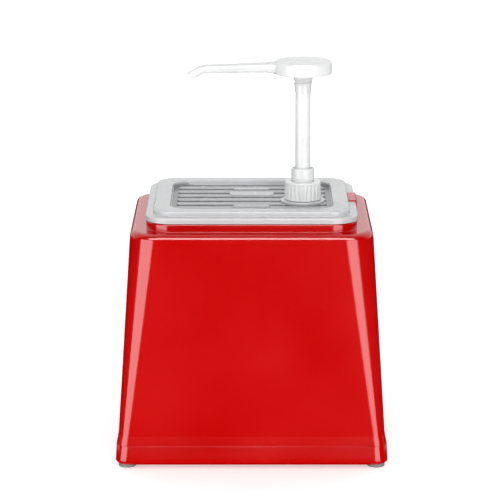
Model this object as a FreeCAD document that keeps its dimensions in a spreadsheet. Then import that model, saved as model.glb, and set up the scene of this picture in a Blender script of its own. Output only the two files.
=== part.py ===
import FreeCAD, Part
import math
import os
import re

import Sketcher
from FreeCAD import Vector

# Countertop condiment pump dispenser: a tapered casing, a gastronorm pan with its lid, and a spring-return
# hand pump. The origin is on the resting surface under the middle of the casing, +Z is up, -Y is the front.

# Every driving size, in millimetres unless the name says otherwise.
SIZES = {
    # casing and base, set out from the lid's outline
    "lid_width": 176.0,  # long side of a gastronorm 1/6 lid
    "lid_depth": 162.0,
    "ledge_width": 12.7,  # casing top outside the lid's outline
    "side_spread": 12.3,  # how far the foot of the casing stands out past its top
    "casing_height": 175.7,  # from the base tray to the ledge
    "casing_wall": 3.0,
    "casing_top_corner": 24.0,
    "casing_low_corner": 10.0,
    "ledge_round": 5.0,
    "flare_height": 8.0,
    "flare_width": 1.5,
    "seat_rise": 6.5,  # raised seat that carries the pan's rim
    "seat_inset": 0.5,
    "seat_corner": "lid_corner - seat_inset",
    "seat_round": 1.2,
    "reveal": 0.2,  # step between the casing and the tray
    "tray_height": 16.0,
    "tray_draft": 0.8,
    "tray_wall": 2.5,
    "tray_floor": 2.5,
    "tray_round": 2.0,
    "spigot_height": 5.0,  # upstand of the tray inside the casing
    "spigot_wall": 2.0,
    "spigot_gap": 0.8,
    "fit_gap": 0.3,  # clearance between parts that slip into each other
    # fixings and feet
    "boss_diameter": 9.0,
    "boss_height": 26.0,
    "boss_inset": 6.5,  # from the casing's inner wall to the boss's axis
    "boss_rib": 3.0,
    "post_wall": 1.7,
    "post_diameter": "screw_head_diameter + 2 * fit_gap + 2 * post_wall",  # screw post in the tray
    "boss_offset": 60.0,  # from the middle of the casing, front to back
    "screw_diameter": 3.5,
    "screw_length": 20.0,
    "screw_head_diameter": 7.0,
    "screw_head_height": 2.2,
    "screw_slot": 1.0,
    "screw_recess": 11.0,
    "foot_diameter": 14.6,
    "foot_height": 3.0,
    "foot_inset": 9.8,
    "foot_stem": 5.0,
    "foot_barb": 2.0,
    # gastronorm pan
    "pan_height": 150.0,
    "pan_wall": 2.0,
    "pan_inset": 10.0,  # from the lid's outline to the pan's side
    "pan_clearance": 1.3,
    "pan_taper": 6.0,  # at the foot, per side
    "pan_corner": 13.0,
    "pan_round": 9.0,
    "pan_rim_height": 3.2,
    "pan_rim_thickness": 1.2,
    "pan_rim_lip": 1.4,
    "pan_rim_round": 0.8,
    # lid
    "lid_corner": 22.0,
    "lid_wall": 1.8,
    "skirt_wall": 1.5,
    "flange_thickness": 2.2,
    "skirt_drop": 2.8,
    "lid_round": 1.2,
    "plateau_inset": 6.5,
    "plateau_rise": 4.3,
    "plateau_corner": 16.0,
    "plateau_round": 1.5,
    "panel_inset": 20.0,
    "panel_depth": 4.0,
    "panel_corner": 18.0,
    "plug_drop": 5.9,  # wall under the lid that reaches into the pan
    "plug_gap": 0.6,
    "rib_count": 6,
    "rib_pitch": 17.0,
    "rib_width": 9.0,
    "rib_height": 1.4,
    "rib_margin": 5.0,
    "plaque_height": 2.4,
    "plaque_width": 38.0,
    "plaque_depth": 13.0,
    "plaque_y": 12.0,
    "tag_width": 31.0,
    "tag_depth": 5.0,
    "rear_tag_y": 34.0,
    "front_tag_y": -40.0,
    # mounting of the pump on the lid
    "pump_x": 43.0,
    "pump_y": -18.0,
    "lid_boss_margin": 3.1,
    "lid_boss_diameter": "cap_diameter + 2 * lid_boss_margin",
    "lid_boss_rise": 3.5,
    "neck_height": 10.2,
    "neck_gap": 0.3,  # round the barrel
    "neck_wall": 1.0,
    "neck_bore": "barrel_bore + 2 * barrel_wall + 2 * neck_gap",
    "neck_diameter": "neck_bore + 2 * neck_wall",
    "thread_pitch": 3.2,
    "thread_depth": 0.8,
    "thread_turns": 1.5,
    "gasket_thickness": 1.0,
    "flange_diameter": "neck_diameter",
    "pump_flange": 1.3,
    "cap_wall": 1.55,
    "cap_diameter": "cap_bore + 2 * cap_wall",
    "cap_taper": 0.5,
    "cap_top": 1.8,
    "cap_bore": "neck_diameter + 2 * thread_depth + 2 * fit_gap",
    "cap_gap": 0.3,
    "cap_flutes": 24,
    "flute_diameter": 2.0,
    "flute_depth": 0.7,
    # barrel, valves and spring
    "barrel_bore": 21.0,
    "barrel_wall": 1.2,
    "barrel_depth": 119.0,
    "ball_room": 2.0,  # round and over the inlet ball
    "chamber_bore": "inlet_ball + 2 * ball_room",
    "chamber_depth": "inlet_ball + ball_room",
    "seat_bore": 6.4,
    "valve_floor": 2.4,
    "tube_socket": 10.0,  # length of the socket for the dip tube
    "tube_diameter": 10.0,
    "tube_wall": 1.5,
    "tube_clearance": 3.4,  # from the pan's floor to the tube's end
    "inlet_ball": 9.0,
    "cage_thickness": 1.5,
    "cage_hole": 4.0,
    "cage_hole_radius": 4.5,
    "cage_holes": 4,
    "spring_gap": 1.35,  # from the wire to the barrel
    "spring_diameter": "barrel_bore - spring_wire - 2 * spring_gap",
    "spring_wire": 1.3,
    "spring_coils": 11,
    # plunger
    "stroke": 78.0,
    "stem_diameter": 12.6,
    "stem_wall": 1.9,
    "stem_bore": "stem_diameter - 2 * stem_wall",
    "stem_upper_bore": 5.6,
    "running_gap": 0.08,
    "seat_gap": 0.04,  # between pressed or glued parts
    "guide_depth": 8.5,
    "lock_gap": 0.35,  # round the plug's thread
    "collar_bore": "plug_diameter + 2 * plug_thread + 2 * lock_gap",
    "collar_waist_wall": 0.7,
    "collar_wall": 1.4,
    "collar_waist": "collar_bore + 2 * collar_waist_wall",
    "collar_diameter": "collar_bore + 2 * collar_wall",
    "collar_rise": 11.2,
    "piston_height": 10.0,
    "piston_relief": 0.9,
    "piston_waist": "barrel_bore - 2 * piston_relief",
    "spindle_step": 0.3,
    "core_spindle": "stem_bore + 2 * spindle_step",
    "core_flange": "barrel_bore - 2 * piston_relief",
    "core_flange_height": 2.0,
    "core_bore": 4.4,
    "core_spigot": 10.0,
    "outlet_ball": 6.0,
    "ball_lift": 3.0,
    # head and spout
    "head_diameter": 47.8,
    "head_height": 11.8,
    "head_wall": 2.4,
    "head_round": 3.0,
    "head_low_round": 2.2,
    "head_rest_gap": 1.7,
    "plug_wall": 0.8,  # round the stem
    "plug_diameter": "stem_diameter + 2 * plug_wall",  # lock-down plug, without its thread
    "plug_length": 11.9,
    "plug_thread": 0.75,
    "lock_pitch": 3.5,
    "lock_turns": 2,
    "plug_lip": 2.2,
    "plug_flange_diameter": "plug_diameter + 2 * plug_lip",
    "plug_flange_height": 1.4,
    "channel_diameter": 7.0,
    "step_wall": 0.65,
    "step_diameter": "stem_diameter + 2 * step_wall",
    "step_length": 3.8,
    "head_rib": 1.6,
    "head_ribs": 6,
    "spout_reach": 81.0,  # from the pump's axis to the bend
    "spout_fall": 1.5,  # degrees below the level
    "spout_root_diameter": 9.3,
    "spout_tip_diameter": 7.3,
    "spout_wall": 1.2,
    "spout_bend_radius": 12.0,
    "spout_bend_angle": 26.5,
    "spout_tip_length": 9.6,
    "tip_cut_angle": 36.0,
    # colour clip on the lid's right edge
    "clip_length": 33.0,
    "clip_middle": 5.7,
    "clip_width": 7.0,
    "clip_wall": 1.2,
    "clip_toe": 1.3,
    "clip_notch": 2.0,
}

# Heights that the sizes stack up to, as formulas in those names.
TRAY_TOP = "foot_height + tray_height"
LEDGE = TRAY_TOP + " + casing_height"
SEAT_TOP = LEDGE + " + seat_rise"
RIM_TOP = SEAT_TOP + " + pan_rim_height"
FLANGE_TOP = RIM_TOP + " + flange_thickness"
PLATEAU_TOP = FLANGE_TOP + " + plateau_rise"
PANEL = PLATEAU_TOP + " - panel_depth"
LID_BOSS_TOP = PANEL + " + lid_boss_rise"
NECK_TOP = LID_BOSS_TOP + " + neck_height"
BARREL_FLANGE = NECK_TOP + " + gasket_thickness"
COLLAR_FLANGE = BARREL_FLANGE + " + pump_flange"
CAP_CEILING = COLLAR_FLANGE + " + pump_flange"
CAP_TOP = CAP_CEILING + " + cap_top"
COLLAR_TOP = CAP_TOP + " + collar_rise"
GUIDE_END = COLLAR_FLANGE + " - guide_depth"
PISTON_LOW = GUIDE_END + " - piston_height"
BARREL_END = COLLAR_FLANGE + " - barrel_depth"
VALVE_SEAT = BARREL_END + " - chamber_depth"
SOCKET_TOP = VALVE_SEAT + " - valve_floor"
HEAD_LOW = COLLAR_TOP + " + stroke + head_rest_gap"
HEAD_TOP = HEAD_LOW + " + head_height"
PLUG_LOW = HEAD_LOW + " - plug_length"
STEP_LOW = PLUG_LOW + " - step_length"
STEM_LOW = PISTON_LOW + " + 0.8 * piston_height"
STEM_TOP = HEAD_LOW + " + head_wall / 2"
SPIGOT_TOP = STEM_LOW + " + core_spigot"
PAN_FLOOR = RIM_TOP + " - pan_height"
SPOUT_AXIS = HEAD_LOW + " + head_height / 2 + 0.3"
BOSS_X = (
    "lid_width / 2 + ledge_width + side_spread - tray_draft - reveal - flare_width"
    " - casing_wall - boss_inset"
)
FOOT_X = "lid_width / 2 + ledge_width + side_spread - foot_inset"
FOOT_Y = "lid_depth / 2 + ledge_width + side_spread - foot_inset"

# Distances from the lid's outline to other outlines, outward positive.
CASING_TOP_EDGE = "ledge_width"
TRAY_LOW_EDGE = "ledge_width + side_spread"
TRAY_TOP_EDGE = TRAY_LOW_EDGE + " - tray_draft"
CASING_LOW_EDGE = TRAY_TOP_EDGE + " - reveal"
CASING_SIDE_EDGE = CASING_LOW_EDGE + " - flare_width"
CASING_INNER_EDGE = CASING_SIDE_EDGE + " - casing_wall"
RIM_EDGE = "0 - skirt_wall - fit_gap"
PAN_EDGE = "0 - pan_inset"

doc = FreeCAD.newDocument("condiment_dispenser")
sheet = doc.addObject("Spreadsheet::Sheet", "Sizes")


def fill_sheet():
    """One row for each driving size, with its name as the alias."""
    for row, name in enumerate(SIZES, start=1):
        sheet.set("A%d" % row, name)
        sheet.setAlias("B%d" % row, name)
    for row, size in enumerate(SIZES.values(), start=1):
        sheet.set("B%d" % row, "=" + size if isinstance(size, str) else str(size))
    doc.recompute()


def link(formula):
    """The formula with every size name pointed at its cell."""
    names = lambda found: "Sizes." + found.group() if found.group() in SIZES else found.group()
    return re.sub(r"[a-z_]+", names, formula)


def number(formula):
    return float(sheet.evalExpression(link(formula)))


def bind(thing, path, formula):
    thing.setExpression(path, link(formula))


def new_body(label, x=None, y=None):
    body = doc.addObject("PartDesign::Body", label)
    body.Label = label
    if x:
        bind(body, ".Placement.Base.x", x)
        bind(body, ".Placement.Base.y", y)
    return body


def new_sketch(body, plane="XY", height="0", x="0", y="0"):
    """A sketch on one of the body's own origin planes, moved along that plane's normal."""
    sketch = body.newObject("Sketcher::SketchObject", body.Name + "_sketch")
    origin = [feature for feature in body.Origin.OriginFeatures if feature.Role == plane + "_Plane"]
    sketch.AttachmentSupport = [(origin[0], "")]
    sketch.MapMode = "FlatFace"
    bind(sketch, ".AttachmentOffset.Base.z", height)
    bind(sketch, ".AttachmentOffset.Base.x", x)
    bind(sketch, ".AttachmentOffset.Base.y", y)
    return sketch


def set_size(sketch, kind, geometry, formula):
    """Adds a dimension and binds it to the sheet."""
    index = sketch.addConstraint(Sketcher.Constraint(kind, *geometry, number(formula)))
    bind(sketch, "Constraints[%d]" % index, formula)


def place_point(sketch, geometry, point, x, y):
    """Holds a point at x, y from the sketch's origin."""
    for axis, formula, zero_line in (("DistanceX", x, -2), ("DistanceY", y, -1)):
        if formula == "0":
            sketch.addConstraint(Sketcher.Constraint("PointOnObject", geometry, point, zero_line))
        else:
            set_size(sketch, axis, (-1, 1, geometry, point), formula)


def add_polygon(sketch, corners):
    """A closed outline through corners given as pairs of formulas."""
    points = [Vector(number(x), number(y), 0) for x, y in corners]
    first = sketch.GeometryCount
    for index, point in enumerate(points):
        sketch.addGeometry(Part.LineSegment(point, points[(index + 1) % len(points)]))
    for index, (x, y) in enumerate(corners):
        following = first + (index + 1) % len(points)
        sketch.addConstraint(Sketcher.Constraint("Coincident", first + index, 2, following, 1))
        place_point(sketch, first + index, 1, x, y)


def add_circle(sketch, diameter, x="0", y="0"):
    centre = Vector(number(x), number(y), 0)
    index = sketch.addGeometry(Part.Circle(centre, Vector(0, 0, 1), number(diameter) / 2))
    set_size(sketch, "Diameter", (index,), diameter)
    if x == "0" and y == "0":
        sketch.addConstraint(Sketcher.Constraint("Coincident", index, 3, -1, 1))
    else:
        place_point(sketch, index, 3, x, y)


def add_rectangle(sketch, width, depth, corner, x="0", y="0"):
    """A rectangle with round corners about x, y: lines 0 to 3, then arcs 4 to 7."""
    half_x, half_y, radius = number(width) / 2, number(depth) / 2, number(corner)
    centre_x, centre_y = number(x), number(y)
    first = sketch.GeometryCount
    inner_x, inner_y = half_x - radius, half_y - radius
    ends = [
        ((-inner_x, -half_y), (inner_x, -half_y)),
        ((half_x, -inner_y), (half_x, inner_y)),
        ((inner_x, half_y), (-inner_x, half_y)),
        ((-half_x, inner_y), (-half_x, -inner_y)),
    ]
    for start, end in ends:
        start_point = Vector(start[0] + centre_x, start[1] + centre_y, 0)
        end_point = Vector(end[0] + centre_x, end[1] + centre_y, 0)
        sketch.addGeometry(Part.LineSegment(start_point, end_point))
    for turn, (sign_x, sign_y) in enumerate([(1, -1), (1, 1), (-1, 1), (-1, -1)]):
        middle = Vector(sign_x * inner_x + centre_x, sign_y * inner_y + centre_y, 0)
        from_angle = (turn - 1) * math.pi / 2
        circle = Part.Circle(middle, Vector(0, 0, 1), radius)
        sketch.addGeometry(Part.ArcOfCircle(circle, from_angle, from_angle + math.pi / 2))
    for side in range(4):
        line, arc, next_line = first + side, first + 4 + side, first + (side + 1) % 4
        sketch.addConstraint(Sketcher.Constraint("Tangent", line, 2, arc, 1))
        sketch.addConstraint(Sketcher.Constraint("Tangent", arc, 2, next_line, 1))
        direction = "Horizontal" if side % 2 == 0 else "Vertical"
        sketch.addConstraint(Sketcher.Constraint(direction, line))
    set_size(sketch, "Radius", (first + 4,), corner)
    for arc in range(5, 8):
        sketch.addConstraint(Sketcher.Constraint("Equal", first + 4, first + arc))
    set_size(sketch, "DistanceX", (-1, 1, first + 1, 1), "(%s) + (%s) / 2" % (x, width))
    set_size(sketch, "DistanceX", (-1, 1, first + 3, 1), "(%s) - (%s) / 2" % (x, width))
    set_size(sketch, "DistanceY", (-1, 1, first + 2, 1), "(%s) + (%s) / 2" % (y, depth))
    set_size(sketch, "DistanceY", (-1, 1, first, 1), "(%s) - (%s) / 2" % (y, depth))


def add_outline(sketch, margin, corner):
    """A rounded rectangle that stands outside the lid's outline by margin."""
    grown = " + 2 * (%s)" % margin
    add_rectangle(sketch, "lid_width" + grown, "lid_depth" + grown, corner)


def outline_sketch(body, height, margin, corner, inner_margin=None, inner_corner=None):
    sketch = new_sketch(body, height=height)
    add_outline(sketch, margin, corner)
    if inner_margin:
        add_outline(sketch, inner_margin, inner_corner)
    return sketch


def add_feature(body, kind, **settings):
    feature = body.newObject("PartDesign::" + kind, body.Name + "_" + kind.lower())
    for name, setting in settings.items():
        setattr(feature, name, setting)
    return feature


def pad(body, sketch, length, down=False):
    feature = add_feature(body, "Pad", Profile=sketch, Reversed=down)
    bind(feature, "Length", length)
    return feature


def pocket(body, sketch, depth, up=False):
    feature = add_feature(body, "Pocket", Profile=sketch, Reversed=up)
    bind(feature, "Length", depth)
    return feature


def loft(body, low, high, cut=False):
    kind = "SubtractiveLoft" if cut else "AdditiveLoft"
    return add_feature(body, kind, Profile=low, Sections=[high], Ruled=True)


def turn(body, corners, cut=False, x="0", y="0"):
    """A solid of revolution about the upright axis through x, y, from pairs of radius and height."""
    sketch = new_sketch(body, plane="XZ", height="0 - (%s)" % y, x=x)
    add_polygon(sketch, corners)
    kind = "Groove" if cut else "Revolution"
    return add_feature(body, kind, Profile=sketch, ReferenceAxis=(sketch, ["V_Axis"]), Angle=360)


def ring(body, inner, outer, low, high):
    turn(body, [(inner, low), (outer, low), (outer, high), (inner, high)])


def wind(
    body, root, side, height, depth="thread_depth", pitch="thread_pitch", turns="thread_turns", x="0", y="0"
):
    """A screw thread's ridge, standing out from root when side is 1 and into the bore when it is -1."""
    sketch = new_sketch(body, plane="XZ", height="0 - (%s)" % y, x=x)
    crest = "%s + (%s) * %s" % (root, side, depth)
    sunk = "%s - (%s) * 0.3" % (root, side)
    add_polygon(sketch, [
        (sunk, height + " - %s * 0.22" % pitch),
        (crest, height + " - %s * 0.1" % pitch),
        (crest, height + " + %s * 0.1" % pitch),
        (sunk, height + " + %s * 0.22" % pitch),
    ])
    ridge = add_feature(body, "AdditiveHelix", Profile=sketch, ReferenceAxis=(sketch, ["V_Axis"]), Mode=0)
    bind(ridge, "Pitch", pitch)
    bind(ridge, "Height", pitch + " * " + turns)
    return ridge


def round_edges(body, radius, chosen, kind="Fillet"):
    """Rounds or chamfers the tip's edges whose end points and middle all satisfy chosen."""
    doc.recompute()
    tip = body.Tip
    names = []
    for index, edge in enumerate(tip.Shape.Edges, start=1):
        middle = edge.valueAt((edge.FirstParameter + edge.LastParameter) / 2)
        if all(chosen(point) for point in [middle] + [vertex.Point for vertex in edge.Vertexes]):
            names.append("Edge%d" % index)
    feature = add_feature(body, kind, Base=(tip, names))
    bind(feature, "Size" if kind == "Chamfer" else "Radius", radius)


def at_height(formula, beyond="0"):
    """A test for points at a height and at least as far from the axis as beyond."""
    height = number(formula)
    least = number(beyond)

    def chosen(point):
        return abs(point.z - height) < 1e-4 and math.hypot(point.x, point.y) >= least

    return chosen


def ring_pattern(body, feature, count):
    axis = [item for item in body.Origin.OriginFeatures if item.Role == "Z_Axis"][0]
    pattern = add_feature(body, "PolarPattern", Originals=[feature], Axis=(axis, [""]), Angle=360)
    bind(pattern, "Occurrences", count)
    body.Tip = pattern
    return pattern


def corner_places(x, y):
    """The four places that mirror x, y about the middle of the casing."""
    signs = [("", ""), ("0 - ", ""), ("", "0 - "), ("0 - ", "0 - ")]
    return [(sign_x + "(" + x + ")", sign_y + "(" + y + ")") for sign_x, sign_y in signs]


def circles_sketch(body, height, diameter, places):
    sketch = new_sketch(body, height=height)
    for x, y in places:
        add_circle(sketch, diameter, x, y)
    return sketch


def casing_shell():
    """Outer casing: drafted sides whose corners open out towards the top, and a raised seat for the pan."""
    body = new_body("casing_shell")
    flare_top = TRAY_TOP + " + flare_height"
    shoulder = LEDGE + " - ledge_round - 0.5"
    low = outline_sketch(body, TRAY_TOP, CASING_LOW_EDGE, "casing_low_corner")
    loft(body, low, outline_sketch(body, flare_top, CASING_SIDE_EDGE, "casing_low_corner"))
    foot = outline_sketch(body, flare_top, CASING_SIDE_EDGE, "casing_low_corner")
    loft(body, foot, outline_sketch(body, shoulder, CASING_TOP_EDGE, "casing_top_corner"))
    pad(body, outline_sketch(body, shoulder, CASING_TOP_EDGE, "casing_top_corner"), "ledge_round + 0.5")
    round_edges(body, "ledge_round", at_height(LEDGE))
    pad(body, outline_sketch(body, LEDGE, "0 - seat_inset", "seat_corner"), "seat_rise")
    round_edges(body, "seat_round", at_height(SEAT_TOP))
    # hollow sides, the space under the seat and the opening for the pan
    ceiling = LEDGE + " - casing_wall"
    side_corner = "casing_low_corner - casing_wall"
    top_corner = "casing_top_corner - casing_wall"
    inner_low = outline_sketch(body, TRAY_TOP, CASING_INNER_EDGE, side_corner)
    inner_high = outline_sketch(body, ceiling, CASING_TOP_EDGE + " - casing_wall", top_corner)
    loft(body, inner_low, inner_high, cut=True)
    under_seat = outline_sketch(body, ceiling, "0 - seat_inset - casing_wall", "seat_corner - casing_wall")
    pocket(body, under_seat, "seat_rise", up=True)
    opening = outline_sketch(body, SEAT_TOP, PAN_EDGE + " + pan_clearance", "pan_corner + pan_clearance")
    pocket(body, opening, "casing_wall + 1")
    # screw bosses, each tied to the side wall by a rib
    boss_low = TRAY_TOP + " + spigot_height"
    bosses = corner_places(BOSS_X, "boss_offset")
    ribs = new_sketch(body, height=boss_low)
    for x, y in bosses:
        side = "0 - " if x.startswith("0") else ""
        rib_middle = side + "(" + BOSS_X + " + boss_inset / 2 + 0.5)"
        add_rectangle(ribs, "boss_inset + 1", "boss_rib", "0.2", rib_middle, y)
    pad(body, ribs, "boss_height")
    pad(body, circles_sketch(body, boss_low, "boss_diameter", bosses), "boss_height")
    pocket(body, circles_sketch(body, boss_low, "screw_diameter", bosses), "boss_height - 3", up=True)


def base_tray():
    """Shallow tray that closes the casing from below, with an upstand inside it and four screw posts."""
    body = new_body("base_tray")
    corner = "casing_low_corner + 1"
    pad(body, outline_sketch(body, "foot_height", TRAY_LOW_EDGE, corner), "tray_round + 0.5")
    round_edges(body, "tray_round", at_height("foot_height"), kind="Chamfer")
    low = outline_sketch(body, "foot_height + tray_round + 0.5", TRAY_LOW_EDGE, corner)
    loft(body, low, outline_sketch(body, TRAY_TOP, TRAY_TOP_EDGE, corner))
    spigot_edge = CASING_INNER_EDGE + " - spigot_gap"
    spigot_corner = "casing_low_corner - casing_wall"
    pad(body, outline_sketch(body, TRAY_TOP, spigot_edge, spigot_corner), "spigot_height")
    floor = "foot_height + tray_floor"
    wide = outline_sketch(body, floor, TRAY_TOP_EDGE + " - tray_wall", "casing_low_corner - 1")
    pocket(body, wide, "tray_height - tray_floor - tray_wall", up=True)
    narrow = outline_sketch(body, floor, spigot_edge + " - spigot_wall", spigot_corner + " - spigot_wall")
    pocket(body, narrow, "tray_height - tray_floor + spigot_height", up=True)
    posts = corner_places(BOSS_X, "boss_offset")
    full_height = "tray_height + spigot_height"
    pad(body, circles_sketch(body, "foot_height", "post_diameter", posts), full_height)
    recess = "screw_head_diameter + 2 * fit_gap"
    pocket(body, circles_sketch(body, "foot_height", recess, posts), "screw_recess", up=True)
    passage = "screw_diameter + 2 * fit_gap"
    pocket(body, circles_sketch(body, "foot_height", passage, posts), full_height, up=True)
    feet = corner_places(FOOT_X, FOOT_Y)
    pocket(body, circles_sketch(body, "foot_height", "foot_stem", feet), "tray_floor", up=True)


def rubber_foot(label, x, y):
    """Turned rubber foot with a stem that pushes through the tray and a barb that holds it."""
    body = new_body(label, x, y)
    floor_top = "foot_height + tray_floor"
    turn(body, [
        ("0", "0"),
        ("foot_diameter / 2 - 0.8", "0"),
        ("foot_diameter / 2", "0.8"),
        ("foot_diameter / 2", "foot_height"),
        ("foot_stem / 2", "foot_height"),
        ("foot_stem / 2", floor_top),
        ("foot_stem / 2 + 0.7", floor_top),
        ("foot_stem / 2 - 0.5", floor_top + " + foot_barb"),
        ("0", floor_top + " + foot_barb"),
    ])


def tray_screws():
    """The four pan-head screws that tie the tray to the casing."""
    head_seat = "foot_height + screw_recess"
    shank = "screw_diameter / 2 - seat_gap"
    screws = []
    for index, (x, y) in enumerate(corner_places(BOSS_X, "boss_offset"), start=1):
        body = new_body("tray_screw_%d" % index, x, y)
        turn(body, [
            ("0", head_seat + " - screw_head_height"),
            ("screw_head_diameter / 2 - 0.8", head_seat + " - screw_head_height"),
            ("screw_head_diameter / 2", head_seat + " - screw_head_height / 2"),
            ("screw_head_diameter / 2", head_seat),
            (shank, head_seat),
            (shank, head_seat + " + screw_length - 2"),
            ("0", head_seat + " + screw_length"),
        ])
        slot = new_sketch(body, height=head_seat + " - screw_head_height")
        add_rectangle(slot, "screw_head_diameter - 1.5", "screw_slot", "0.2")
        pocket(body, slot, "screw_head_height / 2", up=True)
        screws.append(body)
    group = doc.addObject("Part::Compound", "tray_screws")
    group.Links = screws


def basin(label, skin):
    """A drafted block with a rounded foot, skin inside the pan's outer faces."""
    body = new_body(label)
    floor = PAN_FLOOR + " + " + skin
    side_foot = PAN_FLOOR + " + pan_round + 0.5"
    foot_edge = PAN_EDGE + " - pan_taper - " + skin
    foot_corner = "pan_corner + 4 - " + skin
    pad(body, outline_sketch(body, floor, foot_edge, foot_corner), "pan_round + 0.5 - " + skin)
    round_edges(body, "pan_round - " + skin, at_height(floor))
    low = outline_sketch(body, side_foot, foot_edge, foot_corner)
    loft(body, low, outline_sketch(body, RIM_TOP, PAN_EDGE + " - " + skin, "pan_corner - " + skin))
    return body


def pan():
    """Gastronorm pan: drafted sides, a rounded foot and a turned-down rim that sits on the seat."""
    outside = basin("pan_outside", "0")
    rim_corner = "lid_corner - skirt_wall - fit_gap"
    pad(outside, outline_sketch(outside, SEAT_TOP, RIM_EDGE, rim_corner), "pan_rim_height")
    round_edges(outside, "pan_rim_round", at_height(RIM_TOP))
    lip_edge = RIM_EDGE + " - pan_rim_lip"
    lip_corner = rim_corner + " - pan_rim_lip"
    under = outline_sketch(outside, SEAT_TOP, lip_edge, lip_corner, PAN_EDGE, "pan_corner")
    pocket(outside, under, "pan_rim_height - pan_rim_thickness", up=True)
    hollowed = doc.addObject("Part::Cut", "pan")
    hollowed.Base = outside
    hollowed.Tool = basin("pan_inside", "pan_wall")


def pan_lid():
    """Moulded lid: skirt, raised border, sunken ribbed panel, plug wall, and the neck for the pump."""
    body = new_body("pan_lid")
    skirt_low = RIM_TOP + " - skirt_drop"
    pad(body, outline_sketch(body, skirt_low, "0", "lid_corner"), "skirt_drop + flange_thickness")
    round_edges(body, "lid_round", at_height(FLANGE_TOP))
    pad(body, outline_sketch(body, FLANGE_TOP, "0 - plateau_inset", "plateau_corner"), "plateau_rise")
    round_edges(body, "plateau_round", at_height(PLATEAU_TOP))
    pocket(body, outline_sketch(body, PLATEAU_TOP, "0 - panel_inset", "panel_corner"), "panel_depth")
    hollow_lid(body, skirt_low)
    add_lid_relief(body)
    add_neck(body)
    # gap in the skirt for the clip's toe
    notch = new_sketch(body, height=skirt_low)
    notch_middle = "lid_width / 2 - skirt_wall / 2"
    add_rectangle(notch, "skirt_wall + 1", "clip_length + 2 * fit_gap", "0.2", notch_middle, "clip_middle")
    pocket(body, notch, "clip_notch", up=True)


def hollow_lid(body, skirt_low):
    """Takes the lid down to its wall thickness from below and adds the wall that enters the pan."""
    inside = outline_sketch(body, skirt_low, "0 - skirt_wall", "lid_corner - skirt_wall")
    pocket(body, inside, "skirt_drop", up=True)
    plug_edge = PAN_EDGE + " - pan_wall - plug_gap"
    plug_corner = "pan_corner - pan_wall"
    border_edge = "0 - plateau_inset - lid_wall"
    well_edge = "0 - panel_inset + lid_wall"
    under_border = outline_sketch(
        body, RIM_TOP, border_edge, "plateau_corner - lid_wall", well_edge, "panel_corner + lid_wall"
    )
    pocket(body, under_border, "flange_thickness + plateau_rise - lid_wall", up=True)
    under_panel = outline_sketch(body, RIM_TOP, well_edge, "panel_corner + lid_wall")
    pocket(body, under_panel, "flange_thickness + plateau_rise - panel_depth - lid_wall", up=True)
    plug = outline_sketch(
        body,
        RIM_TOP + " - plug_drop",
        plug_edge,
        plug_corner,
        plug_edge + " - lid_wall",
        plug_corner + " - lid_wall",
    )
    pad(body, plug, "plug_drop + flange_thickness + plateau_rise - lid_wall / 2")


def add_lid_relief(body):
    """Ribs across the sunken panel and three blank raised plaques between them."""
    ribs = new_sketch(body, plane="YZ")
    count = int(number("rib_count"))
    for index in range(count):
        middle = "rib_pitch * %g" % (index - (count - 1) / 2)
        add_polygon(ribs, [
            (middle + " - rib_width / 2", PANEL),
            (middle + " + rib_width / 2", PANEL),
            (middle + " + rib_width / 2 - rib_height", PANEL + " + rib_height"),
            (middle + " - rib_width / 2 + rib_height", PANEL + " + rib_height"),
        ])
    rib_pad = pad(body, ribs, "lid_width - 2 * panel_inset - 2 * rib_margin")
    rib_pad.Midplane = True
    plaques = new_sketch(body, height=PANEL)
    add_rectangle(plaques, "plaque_width", "plaque_depth", "4", "0", "plaque_y")
    add_rectangle(plaques, "tag_width", "tag_depth", "2", "0", "rear_tag_y")
    add_rectangle(plaques, "tag_width", "tag_depth", "2", "0", "front_tag_y")
    pad(body, plaques, "plaque_height")


def add_neck(body):
    """Round boss, threaded neck and the hole that the pump drops through."""
    underside = PANEL + " - lid_wall"
    turn(body, [
        ("neck_bore / 2", underside),
        ("lid_boss_diameter / 2", underside),
        ("lid_boss_diameter / 2", LID_BOSS_TOP + " - 0.6"),
        ("lid_boss_diameter / 2 - 0.6", LID_BOSS_TOP),
        ("neck_diameter / 2", LID_BOSS_TOP),
        ("neck_diameter / 2", NECK_TOP),
        ("neck_bore / 2", NECK_TOP),
    ], x="pump_x", y="pump_y")
    wind(body, "neck_diameter / 2", "1", LID_BOSS_TOP + " + 3", x="pump_x", y="pump_y")
    bore = new_sketch(body, height=NECK_TOP)
    add_circle(bore, "neck_bore", "pump_x", "pump_y")
    pocket(body, bore, "neck_height + lid_boss_rise + lid_wall + 1")
    turn(body, [
        ("neck_diameter / 2", underside),
        ("lid_boss_diameter / 2 - lid_wall", underside),
        ("lid_boss_diameter / 2 - lid_wall", LID_BOSS_TOP + " - lid_wall"),
        ("neck_diameter / 2", LID_BOSS_TOP + " - lid_wall"),
    ], cut=True, x="pump_x", y="pump_y")


def colour_clip():
    """Snap-on marker that hooks over the lid's flange and under its skirt."""
    body = new_body("colour_clip")
    outer = "lid_width / 2 + clip_wall"
    inner_top = outer + " - clip_width"
    toe_low = RIM_TOP + " - skirt_drop + clip_notch - clip_wall"
    profile = new_sketch(body, plane="XZ", height="0 - clip_middle")
    add_polygon(profile, [
        (inner_top, FLANGE_TOP),
        ("lid_width / 2", FLANGE_TOP),
        ("lid_width / 2", toe_low + " + clip_wall"),
        ("lid_width / 2 - clip_toe", toe_low + " + clip_wall"),
        ("lid_width / 2 - clip_toe", toe_low),
        (outer, toe_low),
        (outer, FLANGE_TOP + " + 0.4"),
        (outer + " - 0.8", FLANGE_TOP + " + clip_wall"),
        (inner_top, FLANGE_TOP + " + clip_wall"),
    ])
    length = pad(body, profile, "clip_length")
    length.Midplane = True


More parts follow.
